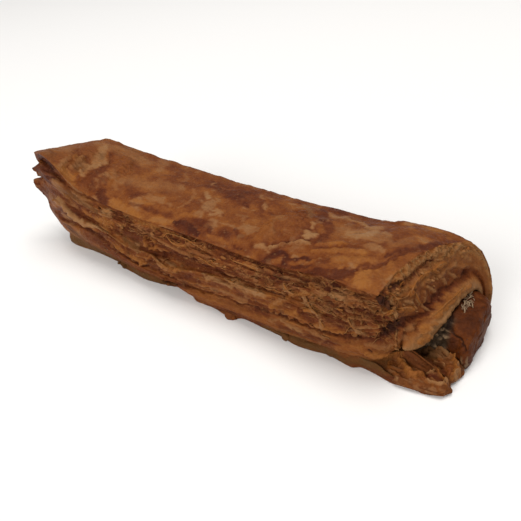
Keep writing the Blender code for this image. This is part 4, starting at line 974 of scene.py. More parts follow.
def wrapLooks(base, around, zone, share):
    x, y, z = base[..., 0], base[..., 1], base[..., 2]
    front = np.clip(around, 0, 1)
    onFront = (zone == 0) & (around < 1)
    onTop = (zone == 0) & (around >= 1) & (around < 2.1)
    onBack = (zone == 0) & (around >= 2)
    onMouth = zone == 1
    onLeafEnd = zone == 2
    lift = np.zeros_like(x)
    look = [np.full_like(x, 0.5), np.zeros_like(x), np.zeros_like(x), np.zeros_like(x)]
    # leaves of the front: thin crests and gaps that follow the layers
    flow = front * 46 + 0.9 * cloud(flat3(x, front * 30), (18, 8, 1), 11, 2)
    ragged = cloud(flat3(x, flow), (2.6, 0.9, 1), 21, 3)
    broad = cloud(flat3(x, flow), (12, 3.2, 1), 22, 3)
    leafLine = np.sin(flow * 2 * np.pi / 2.7 + 1.6 * broad + 0.5 * ragged)
    crest = np.clip(leafLine, 0, 1) ** 1.5 * (0.5 + 0.6 * np.clip(ragged + 0.45, 0, 1.2))
    shreds = cloud(flat3(x, flow), (1.5, 0.55, 1), 27, 3)
    fine = cloud(base, (1.6, 0.8, 0.7), 31, 3)
    bu, bv = boardPlace(base)
    wu, wv = warped(bu, bv, 41)
    cellU = wu + 1.1 * cloud(flat3(bu, bv), (3.5, 3, 1), 43, 2)
    nearest, second, owner = cells(flat3(cellU, wv), (4.2, 2.5, 1), 47)
    web = (1 - ramp(second - nearest, 0.02, 0.20)) * ramp(owner, 0.05, 0.25)
    pocket = ramp(owner, 0.25, 0.5)
    honey = (ramp(bu, 28, 40) * (1 - ramp(bu, 56, 63)) * ramp(bv, 14, 20) * (1 - ramp(bv, 31, 35)))
    honey = np.maximum(honey, 0.75 * ramp(bv, 21, 23.5) * (1 - ramp(bv, 29.5, 31)) * ramp(bu, -66, -44)
                       * (1 - ramp(bu, 60, 66)))
    honey = honey * ramp(cloud(flat3(bu, bv), (9, 4, 1), 53, 2), -0.7, 0.1)
    smoothFoot = 1 - ramp(front, 0.30, 0.36)
    strata = np.clip(1 - 0.7 * smoothFoot - 0.7 * honey, 0, 1) * (1 - ramp(front, 0.965, 0.98))
    strata = strata * (0.14 + 0.86 * ramp(x, -84, -56))
    calm = 1 - ramp(x, -84, -60)
    swirl = cloud(flat3(x, flow), (9, 5, 1), 37, 4)
    relief = strata * (0.66 * crest - 0.22 + 0.34 * broad) + 0.08 * fine + 0.08 * shreds * strata
    relief = relief + honey * (1.15 * web - 0.25 - 0.75 * pocket)
    lift += np.where(onFront, relief, 0)
    # The front's tone is paler on leaf crests and darker in the gaps and honeycomb pockets; that darkness is partly
    # browner dough and partly painted shade.
    layered = (0.57 - 0.36 * crest * strata + 0.12 * ragged * strata - 0.10 * shreds - 0.07 * fine - 0.26 * broad
               + honey * (0.10 + 0.24 * pocket - 0.55 * web) + calm * 0.3 * swirl)
    look[0] = np.where(onFront, layered, look[0])
    pale = 0.6 * crest * strata * ramp(ragged + 0.6 * shreds, 0.15, 0.8) + 0.35 * honey * web
    look[1] = np.where(onFront, np.clip(pale + 0.5 * calm * ramp(-swirl, 0.1, 0.5), 0, 0.8), 0)
    # Olive over the front: random patches, and along the bottom sheet partly its underbaked dough and partly painted
    # shade under the overhanging layers.
    olive = 0.20 * ramp(cloud(flat3(x, flow), (7, 3, 1), 29, 2), 0.1, 0.6)
    olive = olive + (0.35 + 0.25 * calm) * (1 - ramp(front, 0.05, 0.12)) * ramp(ragged + 0.6, 0.1, 0.9)
    look[2] = np.where(onFront, np.clip(olive, 0, 0.7), 0)
    # glazed top
    slow = cloud(base, (15, 11, 11), 61, 3)
    patch = cloud(base, (7, 5, 5), 67, 4)
    small = cloud(base, (2.2, 1.6, 1.6), 71, 3)
    topLook = 0.40 + 0.12 * ramp(slow, -0.4, 0.5) - 0.16 * ramp(patch, 0.05, 0.45) + 0.14 * ramp(-patch, 0.1, 0.5)
    look[0] = np.where(onTop | onBack, topLook + 0.08 * small, look[0])
    look[1] = np.where(onTop | onBack, 0.55 * ramp(patch + 0.35 * small, 0.55, 0.75), look[1])
    lift += np.where(onTop, 0.55 * slow + 0.14 * small + 0.1 * patch, 0) * ramp(around, 1.0, 1.05)
    layers = cloud(flat3(x, z * 1.0), (16, 2.2, 1), 63, 3)
    ridges = cloud(flat3(x, z * 1.0), (7, 1.0, 1), 65, 3)
    lift += np.where(onBack, 0.4 * slow + 0.1 * small + 0.3 * layers + 0.15 * ridges, 0)
    low = 1 - ramp(z, 3, 20)
    look[0] = np.where(onBack, look[0] + 0.22 * layers * (0.4 + low) + 0.15 * ridges - 0.06, look[0])
    look[1] = np.where(onBack, look[1] + 0.35 * low * ramp(ridges - 0.5 * layers, 0.15, 0.5), look[1])
    look[2] = np.where(onBack, 0.35 * (1 - ramp(z, 1, 7)), look[2])
    shoulder = along(roll["backLine"], x) - 6.5
    rim = along(roll["frontLine"], x) - 0.9
    across = 1 + (y - rim) / (shoulder - rim)
    tu, tv = warped(x, across * 38, 83)
    vivid = along(((-112, 0.4), (-60, 0.5), (-30, 0.9), (0, 1.1), (80, 1.1)), x)
    look[0] = np.where(onTop, 0.45 + (look[0] - 0.45) * vivid, look[0])
    layMarks(topMarks, tu, tv, 38, look, lift, onTop)
    deeper = along(((-112, -0.08), (-50, -0.10), (-20, 0.03), (20, 0.04), (50, -0.12), (80, -0.14)), x)
    look[0] = np.where(onTop, look[0] + deeper, look[0])
    # cut ends
    grain = cloud(base, (2.6, 2.6, 2.6), 91, 3)
    bands = cloud(flat3(share * 9, around * 3, x * 0.02), (1, 1, 1), 95, 3)
    onEnd = onMouth | onLeafEnd
    wall = np.clip(np.abs(z - 3) / 9, 0.15, 1)
    mouthBands = along(((0.0, 0.0), (0.12, 0.5), (0.3, 0.1), (0.5, 0.0), (0.62, -0.7), (0.7, -0.2),
                        (0.82, 0.7), (0.93, 0.8), (1.0, 0.2)), share)
    lift += np.where(onMouth, (mouthBands + 0.35 * grain) * wall, 0)
    sheets = np.sin(z * 2.4 + 2.4 * cloud(flat3(y, z), (8, 5, 1), 99, 3))
    sheets = sheets * 0.7 + 0.9 * cloud(flat3(y, z), (3, 0.8, 1), 101, 3)
    lift += np.where(onLeafEnd, (0.7 * sheets + 0.4 * bands + 0.3 * grain) * wall, 0)
    bandToast = along(((0.0, 0.42), (0.12, 0.30), (0.3, 0.36), (0.5, 0.42), (0.62, 0.62), (0.72, 0.30),
                       (0.84, 0.08), (0.95, 0.06), (1.0, 0.35)), share)
    bandCream = along(((0.0, 0.0), (0.12, 0.2), (0.4, 0.12), (0.62, 0.0), (0.70, 0.0), (0.80, 0.4), (0.93, 0.85), (1.0, 0.65)), share)
    comb, combNext, combOwner = cells(base + 0.8 * grain[..., None], (2.4, 2.4, 2.0), 97)
    netting = 1 - ramp(combNext - comb, 0.03, 0.26)
    bumps = ramp(combOwner, 0.45, 0.7) * (1 - ramp(comb, 0.2, 0.6))
    frill = 1 - ramp(share, 0.46, 0.62)
    rimFrill = frill * (1 - ramp(share, 0.16, 0.3))
    innerFrill = frill * ramp(share, 0.16, 0.3)
    look[0] = np.where(onMouth, bandToast - 0.12 * rimFrill + 0.12 * grain - 0.34 * rimFrill * netting
                       - 0.15 * innerFrill * bumps, look[0])
    look[1] = np.where(onMouth, bandCream + 0.50 * rimFrill * netting + 0.4 * innerFrill * bumps, look[1])
    lift += np.where(onMouth, ramp(share, 0.0, 0.04) * wall * (0.5 * rimFrill * (netting - 0.45)
                                                               + 0.3 * innerFrill * bumps), 0)
    look[0] = np.where(onLeafEnd, 0.46 - 0.24 * sheets + 0.12 * grain, look[0])
    look[1] = np.where(onLeafEnd, 0.55 * ramp(sheets, 0.35, 0.9), look[1])
    layMarks(boardMarks, wu, wv, 1, look, lift, onFront | (onMouth & (around < 2.1)))
    # Painted shade: the recess below the sill at the mouth is pushed in and painted darker, without cream, for the
    # shade under the lip.
    recess = ((onFront & (x > 57)) | onMouth) & (around > 0.085) & (around < 0.1235)
    lift = np.where(recess, -0.3, lift)
    look[0] = np.where(recess, 0.62 + 0.1 * grain, look[0])
    look[1] = np.where(recess, 0.1, look[1])
    # under and inside
    under = (zone == 0) & (around >= 2.9)
    look[0] = np.where(under, 0.45 + 0.25 * slow, look[0])
    look[2] = np.where(under, 0.5, look[2])
    inside = zone == 3
    look[0] = np.where(inside, 0.45, look[0])
    look[2] = np.where(inside, 0.6, look[2])
    lift = np.where(inside | under, 0.0, lift)
    net = np.where(onFront, 0.15 + 0.85 * honey, 0) + np.where(onMouth, rimFrill, 0)
    webWhere = np.where(onFront, np.clip(honey + 0.25 * strata, 0, 1) * ramp(front, 0.14, 0.2), 0)
    frillWhere = np.where(onMouth & (around < 2.2), rimFrill + 0.5 * innerFrill, 0)
    leafWhere = np.where(onFront, strata * ramp(front, 0.14, 0.2) * (1 - ramp(front, 0.93, 0.96)), 0)
    ragged = 0.3 + 0.7 * ramp(x, -34, -26) * (1 - ramp(x, 0, 6)) + 0.5 * ramp(x, 36, 38) * (1 - ramp(x, 42, 44))
    footWhere = np.where(onFront, ragged * (1 - ramp(front, 0.012, 0.03)) * ramp(x, -84, -80) * (1 - ramp(x, 60, 64)), 0)
    glaze = np.where((zone == 0) & (around < 2.8), np.where(around < 1, 0.5 * calm, 1.0), 0.0)
    net = net * (1 - calm)
    looks = look + [net, webWhere, frillWhere, leafWhere, footWhere, glaze]
    return lift, [np.clip(part, 0, 1) for part in looks]


wrap = buildWrap()
print("wrap built,", len(wrap.data.polygons) * 2, "triangles")


pastryFinish = {
    "toast": ((0.0, (0.250, 0.090, 0.0180)), (0.25, (0.192, 0.059, 0.0108)), (0.5, (0.138, 0.0355, 0.0066)),
              (0.75, (0.088, 0.0186, 0.0038)), (1.0, (0.050, 0.0086, 0.0022))),
    "cream": (0.262, 0.128, 0.050), "olive": (0.072, 0.033, 0.0075), "char": (0.015, 0.006, 0.003),
    "fleckSize": 1100.0, "mottleSize": 300.0, "fibreSize": 1300.0, "blisterSize": 620.0,
    "swaySize": 260.0, "netSize": 420.0, "streakSize": 150.0,
}


def pastryMaterial():
    shader = Shader("bakedPastry")
    toast = shader.attribute("toast")
    cream = shader.attribute("cream")
    olive = shader.attribute("olive")
    char = shader.attribute("char")
    glaze = shader.attribute("glaze")
    mottle = shader.noise(pastryFinish["mottleSize"], 5.0, 0.65)
    flecks = shader.noise(pastryFinish["fleckSize"], 3.0, 0.6)
    lengthwise = shader.add("ShaderNodeMapping", {}, shader.place(), Scale=(0.22, 1.0, 1.0))
    fibre = shader.noise(pastryFinish["fibreSize"], 3.0, 0.6, lengthwise)
    blister = shader.add("ShaderNodeTexVoronoi", {}, Vector=shader.place(), Scale=pastryFinish["blisterSize"])
    dots = (1 - blister.step(0.12, 0.34)) * mottle.step(0.50, 0.62)
    sway = shader.add("ShaderNodeTexNoise", {}, shader.place(), None, pastryFinish["swaySize"], 3.0, 0.6, out=1)
    swayed = shader.add("ShaderNodeVectorMath", {"operation": "MULTIPLY_ADD"}, sway, (0.0044, 0.0034, 0.0034),
                        shader.place())
    stretched = shader.add("ShaderNodeMapping", {}, swayed, Scale=(0.42, 1.0, 1.0))
    net = shader.attribute("net")
    gaps = shader.add("ShaderNodeTexVoronoi", {"feature": "DISTANCE_TO_EDGE"}, Vector=stretched,
                      Scale=pastryFinish["netSize"])
    threads = (1 - gaps.step(0.02, 0.12)) * net * mottle.step(0.40, 0.56)
    streaks = shader.noise(pastryFinish["streakSize"], 4.0, 0.7, swayed)
    fineLevel = (mottle - 0.5) * (0.5 + glaze * 0.10) + (flecks - 0.5) * 0.42 + (fibre - 0.5) * 0.45 * (1 - glaze)
    # gaps.step darkens the inside of the net's cells: partly browner dough, partly painted shade in the pockets.
    fineLevel = fineLevel + (streaks - 0.5) * 0.42 * glaze - threads * 0.45 + gaps.step(0.1, 0.4) * 0.10 * net
    level = (toast + fineLevel).clamp()
    colour = shader.add("ShaderNodeValToRGB", {"stops": pastryFinish["toast"]}, level)
    colour = shader.mix((olive + (mottle - 0.5) * 0.8 * olive).clamp(), colour, pastryFinish["olive"])
    paleness = cream + (mottle - 0.5) * 1.3 * cream + (fibre - 0.5) * 1.2 * cream + dots * 0.30
    paleness = paleness + fibre.step(0.60, 0.76) * 0.22 * (1 - glaze) + threads * 0.30
    paleness = paleness + streaks.step(0.58, 0.70) * 0.26 * glaze
    colour = shader.mix(paleness.clamp(), colour, pastryFinish["cream"])
    colour = shader.mix((char + (mottle - 0.5) * 0.9 * char).clamp(), colour, pastryFinish["char"])
    height = flecks * 0.4 + mottle * 0.7 + fibre * 0.6 * (1 - glaze) + threads * 0.7 + streaks * 1.2 * glaze
    roughness = 0.62 - glaze * 0.14 + (flecks - 0.5) * 0.2
    return shader.finish(Base_Color=colour, Roughness=roughness, Specular_IOR_Level=0.10,
                         Normal=shader.bump(height, 0.0010, 0.7))


fit(wrap, pastryMaterial(), "pastry", "pastry")


# ---- the filling -----------------------------------------------------------

meatLog = {
    "leafEnd": -97.0, "noseFrom": 62.0, "mouthEnd": 78.0, "rows": 150,
    "frontDraw": ((-112, 0.0), (44, 0.0), (68, 4.0), (80, 4.0)),
    "clearance": ((-112, 0.5), (40, 0.5), (62, 1.1), (80, 1.1)),
    # the seared nose: front side, back side, top and bottom along the roll
    "noseFront": ((62, -12.0), (64.5, -11.0), (67, -8.5), (69.5, -6.4), (73, -6.6), (76.5, -9.2), (79, -9.6)),
    "noseBack": ((62, 15.3), (72, 15.8), (76, 15.0), (79, 14.0)),
    "noseTop": ((62, 15.0), (70, 14.0), (76, 13.4), (79, 12.6)),
    "noseBottom": ((62, 4.0), (72, 3.0), (74.6, 0.6), (76.4, -1.0), (79, -1.2)),
    "roundFrom": 70.0, "bluntness": 8.0,
}
meatMarks = (
    ("lobe", 1.0, 0.9, 0.8, (75.8, 23.8, 1.7), (77.6, 21.8, 1.8)),
    # Painted shade: the crease marks paint near black into the crack beside the lobe and the gap at the meat's left
    # edge.
    ("crease", 0.7, -0.45, 0.8, (75.0, 29.4, 0.5), (76.4, 27.2, 0.4), (78.4, 25.4, 0.35), (79.7, 22.4, 0.35)),
    ("crease", 0.8, -0.3, 0.7, (75.4, 37, 0.7), (74.6, 33, 0.8), (74.4, 29.2, 0.7)),
    ("paleStreak", 0.7, 0.2, 0.5, (80.2, 21, 0.3), (80.4, 18, 0.4), (79.8, 16.4, 0.3)),
    ("paleStreak", 0.5, 0.2, 0.6, (79, 20.4, 0.3), (79.2, 18, 0.3)),
)


def buildFilling():
    rows = np.linspace(0, 4, meatLog["rows"], endpoint=False)
    hidden = np.linspace(meatLog["leafEnd"], meatLog["noseFrom"], 42)[1:-1]
    shown = meatLog["noseFrom"] + (meatLog["mouthEnd"] - meatLog["noseFrom"]) * np.sin(
        np.linspace(0, 0.5 * np.pi, 96)[:-1])
    columns = []
    for place in np.concatenate([hidden, shown]):
        x = np.full_like(rows, place)
        if place < meatLog["noseFrom"]:
            y, z = innerPoint(rows, x, along(meatLog["clearance"], x), along(meatLog["frontDraw"], x))
            closing = np.clip((place - meatLog["leafEnd"]) / 9, 0, 1)
            fullness = (1 - (1 - closing) ** 2.6) ** (1 / 2.6)
            y = y.mean() + (y - y.mean()) * fullness
            z = z.mean() + (z - z.mean()) * fullness
        else:
            y, z = noseSection(rows, place)
        columns.append(np.stack([x, y, z], -1))
    grid = np.stack(columns)
    tips = [columns[0].mean(axis=0) - [0.8, 0, 0], np.array([meatLog["mouthEnd"], *columns[-1].mean(axis=0)[1:]])]
    normals = surfaceNormals(grid)
    normals[-1] = [1, 0, 0]
    normals[0] = 0
    bu, bv = boardPlace(grid)
    x, y = grid[..., 0], grid[..., 1]
    nose = ramp(x, 61, 64)
    raw = nose * (1 - ramp(x, 69.5, 72.0)) * (1 - ramp(y, -2.5, 0.5))
    wu = bu + 0.4 * cloud(flat3(bu, bv), 1.5, 141, 2)
    wv = bv + 0.4 * cloud(flat3(bu, bv), 1.5, 147, 2)
    strands = cloud(grid, (2.6, 0.8, 0.9), 131, 3)
    lift = nose * (0.5 * cloud(grid, (6, 5, 5), 121, 2) + 0.16 * cloud(grid, 1.3, 125, 3)) + raw * 1.1 * strands
    edge = ramp(x, 69.5, 71) * (1 - ramp(x, 72.5, 73.5)) * ramp(grid[..., 2], 8.5, 10) * ramp(y, 2, 4)
    edge = edge * (1 - ramp(y, 11, 13))
    look = [0.0 * x, 0.0 * x, raw, 0.0 * x, nose, edge]
    for name, strength, height, softness, *stops in meatMarks:
        away = markDistance(wu, wv, stops)
        mask = strength * nose * (1 - ramp(away, 1 - 0.8 * softness, 1.1 + 0.5 * softness))
        layer = {"lobe": 3, "crease": 0, "paleStreak": 1}[name]
        look[layer] = np.maximum(look[layer], mask)
        lift += nose * height * (1 - ramp(away, 0.15, 1.5))
    look[1] = np.maximum(look[1], raw * ramp(strands, 0.3, 0.7) * 0.7)
    points = grid + normals * lift[..., None]
    points[..., 0] = np.minimum(points[..., 0], meatLog["mouthEnd"] + 0.4)
    points[..., 2] = np.maximum(points[..., 2], 0.1)
    count = len(rows)
    total = grid.shape[0] * count
    faces = gridFaces(grid.shape[0], count, closedLoops=False)
    first = np.arange(count)
    last = total - count + first
    capA = np.stack([first, np.roll(first, -1), np.full(count, total)], -1)
    capB = np.stack([np.roll(last, -1), last, np.full(count, total + 1)], -1)
    allPoints = np.concatenate([points.reshape(-1, 3), tips])
    names = ("crease", "paleStreak", "raw", "lobe", "noseWhere", "lipWhere")
    values = {name: np.append(part.ravel(), [0, 0]) for name, part in zip(names, look)}
    return allPoints, faces, np.concatenate([capA, capB]), values


def noseSection(rows, place):
    low = [along(meatLog[side], place) for side in ("noseFront", "noseBottom")]
    high = [along(meatLog[side], place) for side in ("noseBack", "noseTop")]
    reach = meatLog["mouthEnd"] - meatLog["roundFrom"]
    t = np.clip((place - meatLog["roundFrom"]) / reach, 0, 1)
    fullness = (1 - t ** meatLog["bluntness"]) ** (1 / meatLog["bluntness"])
    turn = (rows - 0.5) * np.pi / 2
    side = -np.cos(turn)
    rise = np.sin(turn)
    boxy = np.where(rise > 0, 0.65, 0.42)
    side = np.sign(side) * np.abs(side) ** boxy
    rise = np.sign(rise) * np.abs(rise) ** boxy
    centreY = 0.5 * (low[0] + high[0]) + 0.6 * t
    centreZ = 0.5 * (low[1] + high[1])
    slope = 0.24 * (1 - 0.4 * t)  # the log leans lower at the front
    y = centreY + 0.5 * (high[0] - low[0]) * side * fullness
    z = centreZ + 0.5 * (high[1] - low[1]) * rise * fullness * (1 + slope * side * (rise > 0))
    return y, z


def meshFromParts(name, points, quads, triangles, attributes=None):
    mesh = bpy.data.meshes.new(name)
    placed = (points + shift) * 0.001
    mesh.from_pydata(placed.tolist(), [], quads.tolist() + triangles.tolist())
    mesh.update()
    mesh.polygons.foreach_set("use_smooth", np.full(len(mesh.polygons), True))
    for label, values in (attributes or {}).items():
        layer = mesh.attributes.new(label, "FLOAT", "POINT")
        layer.data.foreach_set("value", np.asarray(values, np.float32).ravel())
    piece = bpy.data.objects.new(name, mesh)
    bpy.context.scene.collection.objects.link(piece)
    return piece


meatFinish = {
    "seared": ((0.25, (0.048, 0.0110, 0.0022)), (0.5, (0.086, 0.0205, 0.0034)), (0.8, (0.160, 0.048, 0.0090))),
    "raw": (0.052, 0.032, 0.018), "pale": (0.200, 0.125, 0.066), "crease": (0.016, 0.006, 0.004),
    "mottleSize": 170.0, "poreSize": 900.0,
}


def meatMaterial():
    shader = Shader("searedMeat")
    mottle = shader.noise(meatFinish["mottleSize"], 5.0, 0.6)
    pores = shader.noise(meatFinish["poreSize"], 3.0, 0.6)
    raw = shader.attribute("raw")
    pale = shader.attribute("paleStreak")
    crease = shader.attribute("crease")
    lobe = shader.attribute("lobe")
    level = (mottle * 1.1 + pores * 0.5 - lobe * 0.12 - 0.32).clamp()
    colour = shader.add("ShaderNodeValToRGB", {"stops": meatFinish["seared"]}, level)
    colour = shader.mix(raw, colour, meatFinish["raw"])
    colour = shader.mix((pale + (pores - 0.5) * pale).clamp(), colour, meatFinish["pale"])
    # Painted shade: near black mixed in where the crease marks lie.
    colour = shader.mix(crease, colour, meatFinish["crease"])
    return shader.finish(Base_Color=colour, Roughness=0.55, Specular_IOR_Level=0.08,
                         Normal=shader.bump(pores * 0.7 + mottle * 0.6, 0.0009, 0.8))


filling = meshFromParts("sausageMeat", *buildFilling())
fit(filling, meatMaterial(), "filling", "filling")
print("filling built,", len(filling.data.vertices), "points")


# ---- the ruffled tongue of the bottom sheet ---------------------------------

tongueLeaf = {
    "from": 52.0, "back": -3.0, "level": 3.2, "foot": 1.0, "alongSteps": 160, "acrossSteps": 140,
    "front": ((50, -22.4), (59, -22.6), (62, -24.0), (66, -23.6), (70, -22.8), (74.5, -21.8), (77, -19.8), (79, -17)),
    "end": ((-23.5, 74.6), (-21, 76.8), (-19.2, 76.2), (-17.3, 75.6), (-13.5, 78.0), (-11, 77.6), (-8, 76.4),
            (-6, 75.2), (-3, 74.0)),
}
tongueMarks = (
    # Painted shade: these olive and char marks paint the shaded valley behind the flap, under the web's overhanging
    # lip.
    ("olive", 0.9, -0.5, 0.7, (63, 14, 1.4), (67, 16.6, 2), (70, 18, 2.0), (72, 17, 1.0)),
    ("char", 0.55, -0.3, 0.8, (62, 14.6, 0.8), (66, 16.6, 1.2), (69.6, 18.2, 1.2)),
    ("amber", 1.0, 2.0, 0.5, (59.6, 12.0, 0.8), (61.8, 11.4, 1.2), (63.8, 9.6, 1.5), (65.8, 7.2, 1.3), (68.8, 7.6, 0.8)),
    ("cream", 0.8, 0.3, 0.5, (60.6, 12.8, 0.4), (62.6, 12.2, 0.6), (64.8, 9.6, 0.5)),
    ("gold", 0.8, 0.4, 0.6, (66.4, 11.6, 1.2), (68.4, 10.6, 1.2)),
    ("olive", 0.6, -0.8, 0.6, (65.4, 13.2, 0.8), (69, 13.4, 0.8), (70.4, 10.4, 0.5)),
    ("cream", 0.95, 1.6, 0.5, (69.6, 20.8, 0.8), (72, 20.6, 1.2), (75.4, 19.8, 1.1), (77.4, 18.6, 0.6)),
    ("grey", 0.8, 0.5, 0.6, (71.6, 18.6, 1.1), (74.2, 18, 1.1)),
    ("grey", 0.7, 0.8, 0.5, (67, 17.8, 0.8), (69.4, 19.6, 1.0), (71.7, 21.2, 0.9)),
    ("cream", 0.9, 0.5, 0.4, (71.7, 21.6, 0.4), (73.8, 21.8, 0.5), (75.6, 21.3, 0.5), (78, 20, 0.4)),
    ("rust", 0.8, -0.8, 0.6, (67.4, 14.6, 1.0), (70.6, 15.2, 1.2), (73.4, 14.4, 0.9)),
    ("cream", 0.8, 0.8, 0.35, (70.8, 12.6, 0.35), (71.8, 11.4, 0.4), (70.6, 9.8, 0.3)),
    ("cream", 0.8, 1.0, 0.35, (71.6, 15.4, 0.3), (73, 15.6, 0.5), (74.6, 14.8, 0.4)),
    ("rust", 0.9, -0.8, 0.6, (72.4, 16, 0.7), (74.2, 12.8, 1.2), (75.4, 10.4, 1.2)),
    ("rust", 0.85, -0.7, 0.5, (70.6, 8.6, 0.9), (73, 8.8, 1.1), (75, 8.2, 0.9)),
    ("amber", 0.9, 1.4, 0.5, (76.6, 18.6, 0.6), (77.8, 16.6, 0.8), (78.4, 13.6, 0.8), (77.8, 11.4, 0.6)),
    ("skin", 0.8, 0.7, 0.6, (76.4, 14.8, 0.9), (76.8, 12, 0.9)),
    ("amber", 0.85, 1.1, 0.4, (72.4, 11.6, 0.5), (75.4, 9.4, 0.4), (76.6, 8.8, 0.5)),
    ("cream", 0.9, 0.8, 0.4, (71, 6.6, 0.4), (74, 6.4, 0.5), (76, 7.4, 0.4), (77, 9.4, 0.4)),
    ("cream", 0.7, 0.6, 0.4, (78.2, 17.4, 0.3), (79, 15.4, 0.4), (78.6, 12.6, 0.3)),
)


def buildTongue():
    across = np.linspace(0, 1, tongueLeaf["acrossSteps"])
    lengths = np.linspace(0, 1, tongueLeaf["alongSteps"])
    p, q = np.meshgrid(lengths, across, indexing="ij")
    y = -22.6 + q * (tongueLeaf["back"] + 22.6)
    end = along(tongueLeaf["end"], y)
    x = tongueLeaf["from"] + p ** 0.85 * (end - tongueLeaf["from"])
    front = along(tongueLeaf["front"], x)
    y = front + q * (tongueLeaf["back"] - front)
    x = x + 0.45 * ramp(p, 0.9, 1) * cloud(flat3(y, 0.0), 1.6, 157, 3)
    rim = np.minimum(np.minimum(p, 1 - p) * 26, q * 20) / 1.2
    droop = 1 - ramp(rim, 0.0, 1.3)
    bend = 1.6 * cloud(flat3(x, y), (5, 4, 1), 149, 2)
    folds = cloud(flat3(x, y + 0.25 * x + bend), (4.2, 2.6, 1), 151, 3)
    crests = 1 - np.abs(np.clip(folds * 1.4, -1, 1))
    top = np.stack([x, y, tongueLeaf["level"] + 0 * x], -1)
    bu, bv = boardPlace(top)
    wu, wv = warped(bu, bv, 161)
    shreds = cloud(flat3(x, y), (2.2, 0.8, 1), 171, 3)
    lift = (0.7 * folds + 0.35 * crests ** 2 - 0.1) * ramp(rim, 0, 2.5) + 0.2 * shreds
    look = [0.54 - 0.24 * crests ** 2 + 0.12 * shreds, 0.35 * ramp(shreds, 0.3, 0.7), 0.3 - 0.2 * crests, 0 * x]
    layMarks(tongueMarks, wu, wv, 1, look, lift, rim > -1, 0.25)
    top[..., 2] = np.maximum(top[..., 2] + lift - 1.6 * droop, 1.7)
    bottom = np.stack([x, y, tongueLeaf["foot"] + 0 * x], -1)
    points, faces = closedShell(top, bottom)
    values = {name: np.concatenate([np.clip(part, 0, 1).ravel()] * 2)
              for name, part in zip(("toast", "cream", "olive", "char"), look)}
    values["glaze"] = np.zeros(len(points))
    values["net"] = np.full(len(points), 0.1)
    return meshObject("tongueLeaf", points, faces, values)


def closedShell(top, bottom):
    # two facing grids joined round their borders
    m, n = top.shape[:2]
    upper = gridFaces(m, n, closedLoops=False, closedRows=False)
    lower = upper[:, ::-1] + m * n
    number = np.arange(m * n).reshape(m, n)
    border = np.concatenate([number[0, :], number[1:, -1], number[-1, -2::-1], number[-2:0:-1, 0]])
    following = np.roll(border, -1)
    side = np.stack([border, following, following + m * n, border + m * n], -1)
    return np.concatenate([top.reshape(-1, 3), bottom.reshape(-1, 3)]), np.concatenate([upper, lower, side])


tongue = buildTongue()
fit(tongue, bpy.data.materials["bakedPastry"], "pastry")
print("tongue built")


# small loose parts, grown over the surfaces: thin flakes, strands, curls, specks

def growthTree():
    growth = Growth("scatteredParts")
    where = growth.input("where", "String")
    density = growth.input("density", "Float")
    seed = growth.input("seed", "Int")
    small = growth.input("small", "Float")
    large = growth.input("large", "Float")
    spin = growth.input("spin", "Float")
    tilt = growth.input("tilt", "Float")
    toastLow = growth.input("toastLow", "Float")
    toastHigh = growth.input("toastHigh", "Float")
    creamLow = growth.input("creamLow", "Float")
    creamHigh = growth.input("creamHigh", "Float")
    shape = growth.input("shape", "Object")
    material = growth.input("material", "Material")
    mask = growth.add("GeometryNodeInputNamedAttribute", {"data_type": "FLOAT"}, where)
    points = growth.add("GeometryNodeDistributePointsOnFaces", {"distribute_method": "RANDOM"}, growth.host,
                        Density=density * mask, Seed=seed)
    normal = points.output(1)
    coloured = growth.keep(points, "toast", growth.random(toastLow, toastHigh, seed))
    coloured = growth.keep(coloured, "cream", growth.random(creamLow, creamHigh, seed + 1))
    coloured = growth.keep(coloured, "glaze", 0.0)
    coloured = growth.keep(coloured, "net", 0.0)
    lengthwise = growth.add("FunctionNodeAlignRotationToVector", {"axis": "X"}, Vector=(1.0, 0.0, 0.0))
    upright = growth.add("FunctionNodeAlignRotationToVector", {"axis": "Z", "pivot_axis": "X"}, lengthwise,
                         Vector=normal)
    turn = growth.add("ShaderNodeCombineXYZ", {}, growth.random(tilt * -1, tilt, seed + 2),
                      growth.random(tilt * -1, tilt, seed + 3), growth.random(spin * -1, spin, seed + 4))
    turned = growth.add("FunctionNodeRotateRotation", {"rotation_space": "LOCAL"}, upright,
                        growth.add("FunctionNodeEulerToRotation", {}, turn))
    pattern = growth.add("GeometryNodeObjectInfo", {}, shape).output(4)
    placed = growth.add("GeometryNodeInstanceOnPoints", {}, coloured, Instance=pattern, Rotation=turned,
                        Scale=growth.random(small, large, seed + 5))
    real = growth.add("GeometryNodeRealizeInstances", {}, placed)
    spot = growth.add("ShaderNodeSeparateXYZ", {}, growth.add("GeometryNodeInputPosition", {}))
    aboveFloor = growth.add("ShaderNodeMath", {"operation": "MAXIMUM"}, spot.output(2), 0.00002)
    raised = growth.add("ShaderNodeCombineXYZ", {}, spot, spot.output(1), aboveFloor)
    settled = growth.add("GeometryNodeSetPosition", {}, real, Position=raised)
    finished = growth.add("GeometryNodeSetMaterial", {}, settled, Material=material)
    growth.feed(growth.outlet.inputs[0], finished)
    return growth


def leafShape(length, width, thickness, bend, curl):
    # a small bent flake lying along X
    across = np.linspace(-1, 1, 4)
    lengths = np.linspace(-1, 1, 6)
    p, q = np.meshgrid(lengths, across, indexing="ij")
    taper = np.sqrt(np.clip(1.05 - p ** 2, 0.05, 1))
    x = 0.5 * length * p
    y = 0.5 * width * q * taper + 0.12 * length * p * p
    z = bend * (1 - p ** 2) + curl * q * q
    top = np.stack([x, y, z], -1)
    bottom = top - [0, 0, thickness]
    return closedShell(top, bottom)


